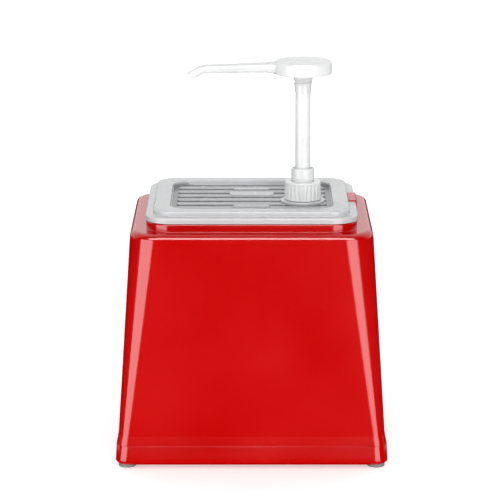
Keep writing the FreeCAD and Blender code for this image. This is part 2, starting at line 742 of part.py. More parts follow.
def closure_cap():
    """Fluted screw cap that clamps the pump's flange to the neck."""
    body = new_body("closure_cap", "pump_x", "pump_y")
    low = LID_BOSS_TOP + " + cap_gap"
    turn(body, [
        ("cap_bore / 2", low),
        ("cap_diameter / 2 - 0.8", low),
        ("cap_diameter / 2", low + " + 0.8"),
        ("cap_diameter / 2 - cap_taper", CAP_TOP + " - 1.2"),
        ("cap_diameter / 2 - cap_taper - 1.2", CAP_TOP),
        ("collar_diameter / 2 + fit_gap", CAP_TOP),
        ("collar_diameter / 2 + fit_gap", CAP_CEILING),
        ("cap_bore / 2", CAP_CEILING),
    ])
    wind(body, "cap_bore / 2", "0 - 1", LID_BOSS_TOP + " + 3 + thread_pitch / 2")
    flute = new_sketch(body, height=low + " + 0.8")
    add_circle(flute, "flute_diameter", "cap_diameter / 2 + flute_diameter / 2 - flute_depth")
    ring_pattern(body, pocket(body, flute, "cap_top + 20", up=True), "cap_flutes")


def neck_gasket():
    body = new_body("neck_gasket", "pump_x", "pump_y")
    ring(body, "barrel_bore / 2 + barrel_wall + seat_gap", "neck_diameter / 2", NECK_TOP, BARREL_FLANGE)


def lock_collar():
    """Guide for the stem, with a waisted sleeve above the cap that takes the head's plug."""
    body = new_body("lock_collar", "pump_x", "pump_y")
    guide = "stem_diameter / 2 + running_gap"
    sleeve_floor = COLLAR_FLANGE + " - 0.4"
    turn(body, [
        (guide, GUIDE_END),
        ("barrel_bore / 2 - seat_gap", GUIDE_END),
        ("barrel_bore / 2 - seat_gap", COLLAR_FLANGE),
        ("flange_diameter / 2", COLLAR_FLANGE),
        ("flange_diameter / 2", CAP_CEILING),
        ("collar_waist / 2", CAP_CEILING),
        ("collar_waist / 2", CAP_TOP + " + 2"),
        ("collar_diameter / 2", CAP_TOP + " + 3"),
        ("collar_diameter / 2", COLLAR_TOP + " - 0.6"),
        ("collar_diameter / 2 - 0.6", COLLAR_TOP),
        ("collar_bore / 2", COLLAR_TOP),
        ("collar_bore / 2", sleeve_floor),
        (guide, sleeve_floor),
    ])


def pump_barrel():
    """Cylinder of the pump, with the inlet valve's seat and chamber and the dip tube's socket below."""
    body = new_body("pump_barrel", "pump_x", "pump_y")
    socket = "tube_diameter / 2 + seat_gap"
    turn(body, [
        ("barrel_bore / 2", COLLAR_FLANGE),
        ("flange_diameter / 2", COLLAR_FLANGE),
        ("flange_diameter / 2", BARREL_FLANGE),
        ("barrel_bore / 2 + barrel_wall", BARREL_FLANGE),
        ("barrel_bore / 2 + barrel_wall", BARREL_END + " - barrel_wall"),
        ("chamber_bore / 2 + barrel_wall", BARREL_END + " - barrel_wall - 2"),
        ("chamber_bore / 2 + barrel_wall", SOCKET_TOP),
        (socket + " + barrel_wall", SOCKET_TOP + " - 1.5"),
        (socket + " + barrel_wall", SOCKET_TOP + " - tube_socket"),
        (socket, SOCKET_TOP + " - tube_socket"),
        (socket, SOCKET_TOP),
        ("seat_bore / 2", SOCKET_TOP),
        ("seat_bore / 2", VALVE_SEAT),
        ("chamber_bore / 2", VALVE_SEAT),
        ("chamber_bore / 2", BARREL_END),
        ("barrel_bore / 2", BARREL_END),
    ])


def dip_tube():
    body = new_body("dip_tube", "pump_x", "pump_y")
    low = PAN_FLOOR + " + pan_wall + tube_clearance"
    ring(body, "tube_diameter / 2 - tube_wall", "tube_diameter / 2", low, SOCKET_TOP)


def ball_cage():
    """Pierced disc that holds the inlet ball down and carries the spring."""
    body = new_body("ball_cage", "pump_x", "pump_y")
    rim = "barrel_bore / 2 - seat_gap"
    turn(body, [
        ("0", BARREL_END),
        (rim, BARREL_END),
        (rim, BARREL_END + " + cage_thickness"),
        ("0", BARREL_END + " + cage_thickness"),
    ])
    hole = new_sketch(body, height=BARREL_END)
    add_circle(hole, "cage_hole", "cage_hole_radius")
    ring_pattern(body, pocket(body, hole, "cage_thickness", up=True), "cage_holes")


def ball(label, diameter, seat_height, seat_diameter):
    """A ball that rests on the edge of a round hole under the pump's axis."""
    sphere = doc.addObject("Part::Sphere", label)
    bind(sphere, "Radius", diameter + " / 2")
    bind(sphere, ".Placement.Base.x", "pump_x")
    bind(sphere, ".Placement.Base.y", "pump_y")
    rise = "sqrt((%s / 2)^2 - (%s / 2)^2)" % (diameter, seat_diameter)
    bind(sphere, ".Placement.Base.z", seat_height + " + " + rise)


def return_spring():
    """Open-coiled compression spring between the cage and the piston's core."""
    body = new_body("return_spring", "pump_x", "pump_y")
    sketch = new_sketch(body, plane="XZ")
    first_coil = BARREL_END + " + cage_thickness + spring_wire / 2"
    add_circle(sketch, "spring_wire", "spring_diameter / 2", first_coil)
    coil = add_feature(body, "AdditiveHelix", Profile=sketch, ReferenceAxis=(sketch, ["V_Axis"]), Mode=0)
    rise = "(%s - core_flange_height - (%s) - spring_wire / 2)" % (PISTON_LOW, first_coil)
    bind(coil, "Pitch", rise + " / spring_coils")
    bind(coil, "Height", rise)


def piston_seal():
    """Waisted piston that slides in the barrel; its lips run close to the bore."""
    body = new_body("piston_seal", "pump_x", "pump_y")
    lip = "barrel_bore / 2 - running_gap"
    spindle = "core_spindle / 2 + running_gap"
    stem_seat = "stem_diameter / 2 + running_gap"
    turn(body, [
        (spindle, PISTON_LOW),
        (lip, PISTON_LOW),
        (lip, PISTON_LOW + " + 0.22 * piston_height"),
        ("piston_waist / 2", PISTON_LOW + " + 0.32 * piston_height"),
        ("piston_waist / 2", PISTON_LOW + " + 0.68 * piston_height"),
        (lip, PISTON_LOW + " + 0.78 * piston_height"),
        (lip, GUIDE_END),
        (stem_seat, GUIDE_END),
        (stem_seat, STEM_LOW),
        (spindle, STEM_LOW),
    ])


def piston_core():
    """Hollow spigot pressed into the stem; its flange holds the piston and takes the spring's push."""
    body = new_body("piston_core", "pump_x", "pump_y")
    flange_low = PISTON_LOW + " - core_flange_height"
    turn(body, [
        ("core_bore / 2", flange_low),
        ("core_flange / 2", flange_low),
        ("core_flange / 2", PISTON_LOW),
        ("core_spindle / 2", PISTON_LOW),
        ("core_spindle / 2", STEM_LOW),
        ("stem_bore / 2 - seat_gap", STEM_LOW),
        ("stem_bore / 2 - seat_gap", SPIGOT_TOP),
        ("core_bore / 2", SPIGOT_TOP),
    ])


def stem():
    """Tube from the piston to the head, wider at its foot for the outlet ball."""
    body = new_body("stem", "pump_x", "pump_y")
    rise = "sqrt((outlet_ball / 2)^2 - (core_bore / 2)^2)"
    ball_stop = SPIGOT_TOP + " + " + rise + " + outlet_ball / 2 + ball_lift + fit_gap"
    turn(body, [
        ("stem_bore / 2", STEM_LOW),
        ("stem_diameter / 2", STEM_LOW),
        ("stem_diameter / 2", STEM_TOP),
        ("stem_upper_bore / 2", STEM_TOP),
        ("stem_upper_bore / 2", ball_stop),
        ("stem_bore / 2", ball_stop),
    ])


def pump_head():
    """Push-down disc with its lock plug, ribbed underside and the long spout."""
    body = new_body("pump_head", "pump_x", "pump_y")
    rim = "head_diameter / 2"
    inside_rim = rim + " - head_wall"
    top_underside = HEAD_TOP + " - head_wall"
    socket = "stem_diameter / 2 + seat_gap"
    flange_low = HEAD_LOW + " - plug_flange_height"
    turn(body, [
        (socket, STEP_LOW),
        ("step_diameter / 2", STEP_LOW),
        ("step_diameter / 2", PLUG_LOW),
        ("plug_diameter / 2", PLUG_LOW),
        ("plug_diameter / 2", flange_low),
        ("plug_flange_diameter / 2", flange_low),
        ("plug_flange_diameter / 2", HEAD_LOW),
        ("plug_diameter / 2", HEAD_LOW),
        ("plug_diameter / 2", top_underside),
        (inside_rim, top_underside),
        (inside_rim, HEAD_LOW),
        (rim, HEAD_LOW),
        (rim, HEAD_TOP),
        ("0", HEAD_TOP),
        ("0", top_underside),
        ("channel_diameter / 2", top_underside),
        ("channel_diameter / 2", STEM_TOP),
        (socket, STEM_TOP),
    ])
    near_rim = rim + " - 0.01"
    round_edges(body, "head_round", at_height(HEAD_TOP, near_rim))
    round_edges(body, "head_low_round", at_height(HEAD_LOW, near_rim))
    wind(body, "plug_diameter / 2", "1", PLUG_LOW + " + 1.5", "plug_thread", "lock_pitch", "lock_turns")
    rib = new_sketch(body, height=STEM_TOP)
    rib_length = "(head_diameter - plug_diameter) / 2 - head_wall + 1"
    rib_middle = "(head_diameter + plug_diameter) / 4 - head_wall / 2"
    add_rectangle(rib, rib_length, "head_rib", "0.2", rib_middle)
    rib_pad = pad(body, rib, "head_height - 1.5 * head_wall + 0.5")
    ring_pattern(body, rib_pad, "head_ribs")
    run_spout(body, "0")
    run_spout(body, "spout_wall", cut=True)
    cut_spout_tip(body)


def run_spout(body, skin, cut=False):
    """Tapering run, bend and straight tip; the same run, thinner by skin, makes the bore."""
    start = "0" if cut else "head_diameter / 4"
    run = new_sketch(body, plane="XZ")
    run.AttachmentOffset = FreeCAD.Placement(Vector(), FreeCAD.Rotation(Vector(0, 0, 1), 1))
    bind(run, ".AttachmentOffset.Rotation.Angle", "spout_fall")
    bind(run, ".AttachmentOffset.Base.y", SPOUT_AXIS)
    add_polygon(run, [
        ("0 - (%s)" % start, "0"),
        ("0 - (%s)" % start, "spout_root_diameter / 2 - " + skin),
        ("0 - spout_reach", "spout_tip_diameter / 2 - " + skin),
        ("0 - spout_reach", "0"),
    ])
    kind = "Groove" if cut else "Revolution"
    add_feature(body, kind, Profile=run, ReferenceAxis=(run, ["H_Axis"]), Angle=360)
    bend = spout_section(body, skin, "spout_fall")
    elbow = add_feature(body, kind, Profile=bend, ReferenceAxis=(bend, ["H_Axis"]), Reversed=True)
    bind(elbow, "Angle", "spout_bend_angle")
    tip = spout_section(body, skin, "spout_fall + spout_bend_angle")
    length = "spout_tip_length + spout_tip_diameter / 2"
    if cut:
        pocket(body, tip, length)
    else:
        pad(body, tip, length, down=True)


def bend_middle():
    """Where the bend's axis stands: out from the pump's axis, and up."""
    fall = "(spout_fall * 1deg)"
    out = "(spout_reach * cos%s - spout_bend_radius * sin%s)" % (fall, fall)
    up = SPOUT_AXIS + " - spout_reach * sin%s - spout_bend_radius * cos%s" % (fall, fall)
    return out, up


def spout_section(body, skin, swing):
    """A circle square to the spout's line, swung down about the bend's axis."""
    out, up = bend_middle()
    sketch = new_sketch(body, plane="YZ", height="0 - " + out, y=up)
    sketch.AttachmentOffset = FreeCAD.Placement(Vector(), FreeCAD.Rotation(Vector(-1, 0, 0), 1))
    bind(sketch, ".AttachmentOffset.Rotation.Angle", swing)
    add_circle(sketch, "spout_tip_diameter - 2 * " + skin, "0", "spout_bend_radius")
    return sketch


def cut_spout_tip(body):
    """Slanted cut across the spout's end, turned from the level by the cut's angle."""
    out, up = bend_middle()
    swing = "((spout_fall + spout_bend_angle) * 1deg)"
    end_out = out + " + spout_bend_radius * sin%s + spout_tip_length * cos%s" % (swing, swing)
    end_up = up + " + spout_bend_radius * cos%s - spout_tip_length * sin%s" % (swing, swing)
    sketch = new_sketch(body, plane="XZ", x="0 - (%s)" % end_out, y=end_up)
    sketch.AttachmentOffset = FreeCAD.Placement(Vector(), FreeCAD.Rotation(Vector(0, 0, -1), 1))
    bind(sketch, ".AttachmentOffset.Rotation.Angle", "tip_cut_angle")
    reach = "1.5 * spout_tip_diameter"
    add_polygon(sketch, [
        ("0 - " + reach, "0"),
        ("0 - " + reach, "0 - " + reach),
        (reach, "0 - " + reach),
        (reach, "0"),
    ])
    cut = pocket(body, sketch, "3 * spout_tip_diameter")
    cut.Midplane = True


def build_everything():
    fill_sheet()
    casing_shell()
    base_tray()
    tray_screws()
    sides = [("front", "0 - "), ("rear", "")]
    for side, y_sign in sides:
        rubber_foot("foot_%s_left" % side, "0 - (%s)" % FOOT_X, "%s(%s)" % (y_sign, FOOT_Y))
        rubber_foot("foot_%s_right" % side, FOOT_X, "%s(%s)" % (y_sign, FOOT_Y))
    pan()
    pan_lid()
    colour_clip()
    neck_gasket()
    closure_cap()
    lock_collar()
    pump_barrel()
    dip_tube()
    ball_cage()
    ball("inlet_ball", "inlet_ball", VALVE_SEAT, "seat_bore")
    return_spring()
    piston_seal()
    piston_core()
    stem()
    ball("outlet_ball", "outlet_ball", SPIGOT_TOP, "core_bore")
    pump_head()


PARTS = [
    "casing_shell", "base_tray", "tray_screws",
    "foot_front_left", "foot_front_right", "foot_rear_left", "foot_rear_right",
    "pan", "pan_lid", "colour_clip", "neck_gasket", "closure_cap", "lock_collar",
    "pump_barrel", "dip_tube", "ball_cage", "inlet_ball", "return_spring",
    "piston_seal", "piston_core", "stem", "outlet_ball", "pump_head",
]


def check_and_export():
    doc.recompute()
    for item in doc.Objects:
        if {"Invalid", "Error"} & set(item.State):
            raise RuntimeError("%s did not compute: %s" % (item.Name, item.State))
    shapes = {label: doc.getObjectsByLabel(label)[0].Shape for label in PARTS}
    for label, shape in shapes.items():
        if shape.isNull() or not shape.isValid():
            raise RuntimeError("%s has no sound shape" % label)
    os.makedirs("parts", exist_ok=True)
    for label, shape in shapes.items():
        shape.exportStep("parts/%s.step" % label)
        print(label, "%d solid(s), %.0f mm3" % (len(shape.Solids), shape.Volume))


build_everything()
check_and_export()
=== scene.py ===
import math
import bmesh
import bpy
from mathutils import Matrix, Vector


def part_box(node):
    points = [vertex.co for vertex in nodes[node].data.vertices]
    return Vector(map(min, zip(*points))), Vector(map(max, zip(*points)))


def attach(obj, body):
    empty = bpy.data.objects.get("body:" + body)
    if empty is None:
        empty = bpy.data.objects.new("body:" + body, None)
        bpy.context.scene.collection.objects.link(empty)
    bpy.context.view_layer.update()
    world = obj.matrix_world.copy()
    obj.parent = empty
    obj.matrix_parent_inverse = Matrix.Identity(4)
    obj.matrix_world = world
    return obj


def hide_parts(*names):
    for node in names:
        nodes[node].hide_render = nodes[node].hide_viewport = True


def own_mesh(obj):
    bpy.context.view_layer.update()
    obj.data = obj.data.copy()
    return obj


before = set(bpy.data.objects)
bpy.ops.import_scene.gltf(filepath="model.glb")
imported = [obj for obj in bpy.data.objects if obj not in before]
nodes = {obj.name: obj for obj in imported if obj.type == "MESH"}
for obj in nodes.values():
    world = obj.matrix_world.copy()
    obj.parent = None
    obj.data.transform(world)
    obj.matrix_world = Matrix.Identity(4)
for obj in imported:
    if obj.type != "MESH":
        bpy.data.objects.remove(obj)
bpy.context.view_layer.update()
mm = 0.001


def linear(hexColour):
    # sRGB hex to the linear values that the shaders take
    values = [int(hexColour[i:i + 2], 16) / 255 for i in (0, 2, 4)]
    return tuple(v / 12.92 if v <= 0.04045 else ((v + 0.055) / 1.055) ** 2.4 for v in values) + (1.0,)


def addNode(tree, kind, settings=None, links=None):
    # settings name a property of the node, or an input by name or number
    node = tree.nodes.new(kind)
    for key, value in (settings or {}).items():
        if isinstance(key, str) and hasattr(node, key):
            setattr(node, key, value)
        else:
            node.inputs[key].default_value = value
    for key, source in (links or {}).items():
        tree.links.new(source, node.inputs[key])
    return node


def emptyMaterial(name):
    material = bpy.data.materials.new(name)
    material.use_nodes = True
    material.node_tree.nodes.clear()
    return material


def mouldedFinish(name, look):
    # a moulded part: faint cloudiness in the colour, a gloss that varies and the fine skin of the mould in the bump
    material = emptyMaterial(name)
    tree = material.node_tree
    place = addNode(tree, "ShaderNodeTexCoord")
    cloud = addNode(tree, "ShaderNodeTexNoise",
        {"Scale": 1 / (look["cloudSize"] * mm), "Detail": 3.0, "Roughness": 0.5}, {"Vector": place.outputs["Object"]})
    skin = addNode(tree, "ShaderNodeTexNoise",
        {"Scale": 1 / (look["skinSize"] * mm), "Detail": 2.0, "Roughness": 0.4}, {"Vector": place.outputs["Object"]})
    colour = addNode(tree, "ShaderNodeValToRGB", links={"Fac": cloud.outputs["Fac"]})
    colour.color_ramp.elements[0].position = 0.3
    colour.color_ramp.elements[0].color = linear(look["shade"])
    colour.color_ramp.elements[1].position = 0.7
    colour.color_ramp.elements[1].color = linear(look["colour"])
    tint = colour.outputs["Color"]
    if "paintedPanelShade" in look:
        # painted shade: a grey mixed into the middle of the panel, strongest at the panel floor and fading out with
        # height, so less up the ribs and plaques; it stands in for the dark inside seen through the plastic
        paintedPanelShade = look["paintedPanelShade"]
        aside = addNode(tree, "ShaderNodeVectorMath", {"operation": "ABSOLUTE"}, {0: place.outputs["Object"]})
        parts = addNode(tree, "ShaderNodeSeparateXYZ", links={"Vector": aside.outputs["Vector"]})
        insideX = addNode(tree, "ShaderNodeMath", {"operation": "LESS_THAN", 1: paintedPanelShade["half"][0] * mm},
            {0: parts.outputs["X"]})
        insideY = addNode(tree, "ShaderNodeMath", {"operation": "LESS_THAN", 1: paintedPanelShade["half"][1] * mm},
            {0: parts.outputs["Y"]})
        insideBoth = addNode(tree, "ShaderNodeMath", {"operation": "MULTIPLY"},
            {0: insideX.outputs["Value"], 1: insideY.outputs["Value"]})
        depth = addNode(tree, "ShaderNodeMapRange",
            {"From Min": paintedPanelShade["low"] * mm, "From Max": paintedPanelShade["high"] * mm, "To Min": 1.0, "To Max": 0.0},
            {"Value": parts.outputs["Z"]})
        share = addNode(tree, "ShaderNodeMath", {"operation": "MULTIPLY"},
            {0: depth.outputs["Result"], 1: insideBoth.outputs["Value"]})
        tint = addNode(tree, "ShaderNodeMixRGB", {"Color2": linear(paintedPanelShade["colour"])},
            {"Fac": share.outputs["Value"], "Color1": tint}).outputs["Color"]
    gloss = addNode(tree, "ShaderNodeMapRange",
        {"From Min": 0.3, "From Max": 0.7, "To Min": look["roughness"][0], "To Max": look["roughness"][1]},
        {"Value": cloud.outputs["Fac"]})
    bump = addNode(tree, "ShaderNodeBump", {"Strength": look["skinStrength"], "Distance": look["skinDepth"] * mm},
        {"Height": skin.outputs["Fac"]})
    shader = addNode(tree, "ShaderNodeBsdfPrincipled", {"IOR": look["ior"]},
        {"Base Color": tint, "Roughness": gloss.outputs["Result"], "Normal": bump.outputs["Normal"]})
    for key, value in look.get("shader", {}).items():
        shader.inputs[key].default_value = value
    addNode(tree, "ShaderNodeOutputMaterial", links={"Surface": shader.outputs["BSDF"]})
    return material


def metalFinish(name, look):
    # a drawn or ground metal: fine marks stretched along one direction
    material = emptyMaterial(name)
    tree = material.node_tree
    place = addNode(tree, "ShaderNodeTexCoord")
    stretch = addNode(tree, "ShaderNodeMapping", {"Scale": look["stretch"]}, {"Vector": place.outputs["Object"]})
    marks = addNode(tree, "ShaderNodeTexNoise",
        {"Scale": 1 / (look["markSize"] * mm), "Detail": 4.0, "Roughness": 0.6},
        {"Vector": stretch.outputs["Vector"]})
    colour = addNode(tree, "ShaderNodeValToRGB", links={"Fac": marks.outputs["Fac"]})
    colour.color_ramp.elements[0].color = linear(look["shade"])
    colour.color_ramp.elements[1].color = linear(look["colour"])
    gloss = addNode(tree, "ShaderNodeMapRange", {"To Min": look["roughness"][0], "To Max": look["roughness"][1]},
        {"Value": marks.outputs["Fac"]})
    bump = addNode(tree, "ShaderNodeBump", {"Strength": look["markStrength"], "Distance": 0.02 * mm},
        {"Height": marks.outputs["Fac"]})
    shader = addNode(tree, "ShaderNodeBsdfPrincipled", {"Metallic": 1.0},
        {"Base Color": colour.outputs["Color"], "Roughness": gloss.outputs["Result"],
        "Normal": bump.outputs["Normal"]})
    addNode(tree, "ShaderNodeOutputMaterial", links={"Surface": shader.outputs["BSDF"]})
    return material


# glossy injection-moulded ABS: deep even red, sharp reflections that ripple slightly with the skin of the mould
redAbs = mouldedFinish("mouldedRedAbs",
    {"colour": "C80000", "shade": "C00000", "cloudSize": 60, "roughness": (0.10, 0.15), "ior": 1.53, "skinSize": 2.5,
    "skinStrength": 0.05, "skinDepth": 0.05})
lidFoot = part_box("pan_lid")[0][2] / mm  # lowest edge of the lid
# milky polypropylene: pale grey with light bleeding under a satin face; painted shade darkens the middle of the
# panel, strongest at its floor and fading out by the tops of its plaques, standing in for the dark inside seen
# through the plastic
milkyPolypropylene = mouldedFinish("milkyPolypropylene",
    {"colour": "D2D3D4", "shade": "CECFD0", "cloudSize": 45, "roughness": (0.24, 0.30), "ior": 1.49, "skinSize": 1.2,
    "skinStrength": 0.08, "skinDepth": 0.05,
    "paintedPanelShade": {"half": (67.4, 60.4), "low": lidFoot + 8.4, "high": lidFoot + 11.2, "colour": "7E8082"},
    "shader": {"Subsurface Weight": 0.3, "Subsurface Scale": 0.003, "Subsurface Radius": (1, 1, 1)}})
# white polypropylene of the pump: bright satin with a little light bleeding into the edges
whitePolypropylene = mouldedFinish("whitePolypropylene",
    {"colour": "F0F1F1", "shade": "EDEEEE", "cloudSize": 25, "roughness": (0.22, 0.32), "ior": 1.49, "skinSize": 1.5,
    "skinStrength": 0.06, "skinDepth": 0.05,
    "shader": {"Subsurface Weight": 0.35, "Subsurface Scale": 0.003, "Subsurface Radius": (1, 1, 1)}})
# tinted clip plastic: red that lets light through
tintedClip = mouldedFinish("tintedClipPlastic",
    {"colour": "EE3A3A", "shade": "E43030", "cloudSize": 12, "roughness": (0.2, 0.28), "ior": 1.5, "skinSize": 1.0,
    "skinStrength": 0.05, "skinDepth": 0.04,
    "shader": {"Transmission Weight": 0.35, "Subsurface Weight": 0.2, "Subsurface Scale": 0.002}})
# smoke-grey polycarbonate of the pan: dark where light has to pass twice, smooth
smokePolycarbonate = mouldedFinish("smokePolycarbonate",
    {"colour": "5E6264", "shade": "55595B", "cloudSize": 60, "roughness": (0.04, 0.08), "ior": 1.585, "skinSize": 8,
    "skinStrength": 0.03, "skinDepth": 0.05, "shader": {"Transmission Weight": 0.35}})
# moulded grey rubber of the feet: matt, slightly dusty
greyRubber = mouldedFinish("greyRubber",
    {"colour": "8C8A88", "shade": "7C7A78", "cloudSize": 4, "roughness": (0.6, 0.75), "ior": 1.52, "skinSize": 0.4,
    "skinStrength": 0.25, "skinDepth": 0.05})
# silicone ring: soft translucent white
siliconeRubber = mouldedFinish("siliconeRubber",
    {"colour": "D9D9D6", "shade": "CBCBC8", "cloudSize": 6, "roughness": (0.42, 0.52), "ior": 1.43, "skinSize": 0.8,
    "skinStrength": 0.1, "skinDepth": 0.04, "shader": {"Subsurface Weight": 0.3, "Subsurface Scale": 0.001}})
# soft polyethylene of the piston seal: waxy off-white
softPolyethylene = mouldedFinish("softPolyethylene",
    {"colour": "ECEAE4", "shade": "E0DED8", "cloudSize": 8, "roughness": (0.38, 0.48), "ior": 1.51, "skinSize": 0.9,
    "skinStrength": 0.1, "skinDepth": 0.04, "shader": {"Subsurface Weight": 0.3, "Subsurface Scale": 0.002}})
# zinc-plated screw: cool grey with fine marks from tumbling
platedScrew = metalFinish("zincPlatedSteel",
    {"colour": "C9CCD0", "shade": "AFB3B8", "stretch": (1, 1, 1), "markSize": 0.6, "roughness": (0.25, 0.42),
    "markStrength": 0.3})
# ground and polished ball
polishedBall = metalFinish("polishedBearingSteel",
    {"colour": "D6D8DA", "shade": "C8CACC", "stretch": (1, 1, 1), "markSize": 0.5, "roughness": (0.06, 0.14),
    "markStrength": 0.05})
# cold-drawn stainless spring wire: bright, drawn along the wire
springWire = metalFinish("drawnSpringSteel",
    {"colour": "CFD0D2", "shade": "A9ABAE", "stretch": (1, 1, 6), "markSize": 0.5, "roughness": (0.2, 0.34),
    "markStrength": 0.2})

# record slot to finish
finishes = {"casing_red": redAbs, "screw_steel": platedScrew, "foot_rubber": greyRubber,
    "pan_clear": smokePolycarbonate, "lid_clear": milkyPolypropylene, "clip_red": tintedClip,
    "gasket_rubber": siliconeRubber, "pump_white": whitePolypropylene, "ball_steel": polishedBall,
    "spring_steel": springWire, "seal_white": softPolyethylene}
print("finishes made")


def finishPiece(obj, body, slot, replaced, smoothAngle=30):
    # the last steps for each piece: smooth faces, the slot's finish, and the part of the frame it stands for
    obj.data.shade_smooth()
    obj.data.set_sharp_from_angle(angle=math.radians(smoothAngle))
    obj.data.materials.clear()
    obj.data.materials.append(finishes[slot])
    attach(obj, body)
    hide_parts(*replaced)
    return obj


def newObject(name, mesh):
    obj = bpy.data.objects.new(name, mesh)
    bpy.context.scene.collection.objects.link(obj)
    return obj


def smoothCopy(name, node, body, slot, smoothAngle=30):
    # a CAD part whose shape is right, merged so that its rounds shade smoothly
    mesh = nodes[node].data.copy()
    mesh.name = name
    work = bmesh.new()
    work.from_mesh(mesh)
    bmesh.ops.remove_doubles(work, verts=work.verts, dist=0.000002)
    work.to_mesh(mesh)
    work.free()
    obj = newObject(name, mesh)
    weights = obj.modifiers.new("faceWeights", "WEIGHTED_NORMAL")
    weights.keep_sharp = True
    return finishPiece(obj, body, slot, [node], smoothAngle)


def roundedProfile(points, steps=6, closed=False):
    # points are sizes with the height next to last and the edge's round last, in millimetres; each round becomes
    # an arc with a guard row past each of its ends, which keeps the flats beside it flat in the shading
    guard, guardRoom = 0.3, 0.8
    besideRound, besideCorner = 0.48, 0.95  # the share of a side that a round may take up
    path = []
    count = len(points)
    for i, point in enumerate(points):
        here, size = Vector(point[:-1]), point[-1]
        if size <= 0 or not closed and i in (0, count - 1):
            path.append(here)
            continue
        sides = []
        for other in (points[i - 1], points[(i + 1) % count]):
            step = Vector(other[:-1]) - here
            run = math.hypot(step[0], step[-1])
            sides.append((step / run, run, run * (besideRound if other[-1] > 0 else besideCorner)))
        (back, backRun, backRoom), (ahead, aheadRun, aheadRoom) = sides
        cosine = max(-0.9999, min(0.9999, back[0] * ahead[0] + back[-1] * ahead[-1]))
        turn = math.acos(cosine)
        reach = min(size / math.tan(turn / 2), backRoom, aheadRoom)
        radius = reach * math.tan(turn / 2)
        if backRun > reach + guardRoom:
            path.append(here + back * (reach + guard))
        for k in range(steps + 1):
            # the arc in the plane of the two sides, written as a share of each
            a = (math.pi - turn) * k / steps
            along, off = radius * math.sin(a), radius * (1 - math.cos(a))
            onAhead = off / math.sin(turn)
            onBack = reach - along - off * cosine / math.sin(turn)
            path.append(here + back * onBack + ahead * onAhead)
        if aheadRun > reach + guardRoom:
            path.append(here + ahead * (reach + guard))
    return path


def outline(halfX, halfY, corner, z, centre=(0, 0), perCorner=12):
    # a rounded rectangle, anticlockwise from above, with guard points on its straight sides
    ring = []
    corner = max(corner, 0.2)
    guard = min(1.0, (min(halfX, halfY) - corner) * 0.4)
    for quarter, (sx, sy) in enumerate(((1, 1), (-1, 1), (-1, -1), (1, -1))):
        cx, cy = centre[0] + sx * (halfX - corner), centre[1] + sy * (halfY - corner)
        start, end = math.radians(90 * quarter), math.radians(90 * quarter + 90)
        arc = [start + (end - start) * k / perCorner for k in range(perCorner + 1)]
        ring.append((cx + corner * math.cos(start) + guard * math.sin(start),
            cy + corner * math.sin(start) - guard * math.cos(start), z))
        ring += [(cx + corner * math.cos(a), cy + corner * math.sin(a), z) for a in arc]
        ring.append((cx + corner * math.cos(end) - guard * math.sin(end),
            cy + corner * math.sin(end) + guard * math.cos(end), z))
    return ring


def circle(radius, z, centre, count):
    return [(centre[0] + radius * math.cos(2 * math.pi * k / count),
        centre[1] + radius * math.sin(2 * math.pi * k / count), z) for k in range(count)]


def ringMesh(name, rings, closed=False):
    # rings run up the outside and down the inside, so that faces point outwards; sizes in millimetres
    work = bmesh.new()
    rows = [[work.verts.new(Vector(p) * mm) for p in ring] for ring in rings]
    pairs = list(zip(rows, rows[1:] + rows[:1])) if closed else list(zip(rows, rows[1:]))
    for low, high in pairs:
        for k in range(len(low)):
            n = (k + 1) % len(low)
            work.faces.new((low[k], low[n], high[n], high[k]))
    if not closed:
        work.faces.new(rows[0][::-1])
        work.faces.new(rows[-1])
    bmesh.ops.remove_doubles(work, verts=work.verts, dist=0.0000005)
    mesh = bpy.data.meshes.new(name)
    work.to_mesh(mesh)
    work.free()
    return mesh


def outlineMesh(name, points, closed=False, steps=6, perCorner=12):
    return ringMesh(name, [outline(*row, perCorner=perCorner) for row in roundedProfile(points, steps, closed)],
        closed)


def turnedMesh(name, points, centre, closed=False, steps=5, count=96):
    return ringMesh(name, [circle(row[0], row[1], centre, count) for row in roundedProfile(points, steps, closed)],
        closed)


def joinMeshes(name, meshes):
    work = bmesh.new()
    for mesh in meshes:
        work.from_mesh(mesh)
    whole = bpy.data.meshes.new(name)
    work.to_mesh(whole)
    work.free()
    return whole


def evaluatedMesh(obj, name):
    # the object's modifiers turned into a plain mesh
    mesh = bpy.data.meshes.new_from_object(obj.evaluated_get(bpy.context.evaluated_depsgraph_get()))
    mesh.name = name
    obj.modifiers.clear()
    return mesh


def combine(mesh, others, operation):
    # exact union or difference of closed meshes
    base = newObject("combineBase", mesh)
    tools = [newObject("combineTool", other) for other in others]
    for tool in tools:
        cut = base.modifiers.new("combine", "BOOLEAN")
        cut.operation = operation
        cut.solver = "EXACT"
        cut.object = tool
    result = evaluatedMesh(base, mesh.name)
    for obj in [base] + tools:
        bpy.data.objects.remove(obj)
    return result


def treeWith(name, sizes):
    # a Geometry Nodes tree with one named input for each size
    tree = bpy.data.node_groups.new(name, "GeometryNodeTree")
    tree.interface.new_socket("Geometry", in_out="INPUT", socket_type="NodeSocketGeometry")
    for label, value in sizes.items():
        kind = "NodeSocketInt" if isinstance(value, int) else "NodeSocketFloat"
        tree.interface.new_socket(label, in_out="INPUT", socket_type=kind)
    tree.interface.new_socket("Geometry", in_out="OUTPUT", socket_type="NodeSocketGeometry")
    return tree, addNode(tree, "NodeGroupInput")


def endTree(tree, geometry, material):
    plain = addNode(tree, "GeometryNodeRealizeInstances", links={"Geometry": geometry})
    painted = addNode(tree, "GeometryNodeSetMaterial", {"Material": material},
        {"Geometry": plain.outputs["Geometry"]})
    addNode(tree, "NodeGroupOutput", links={"Geometry": painted.outputs["Geometry"]})


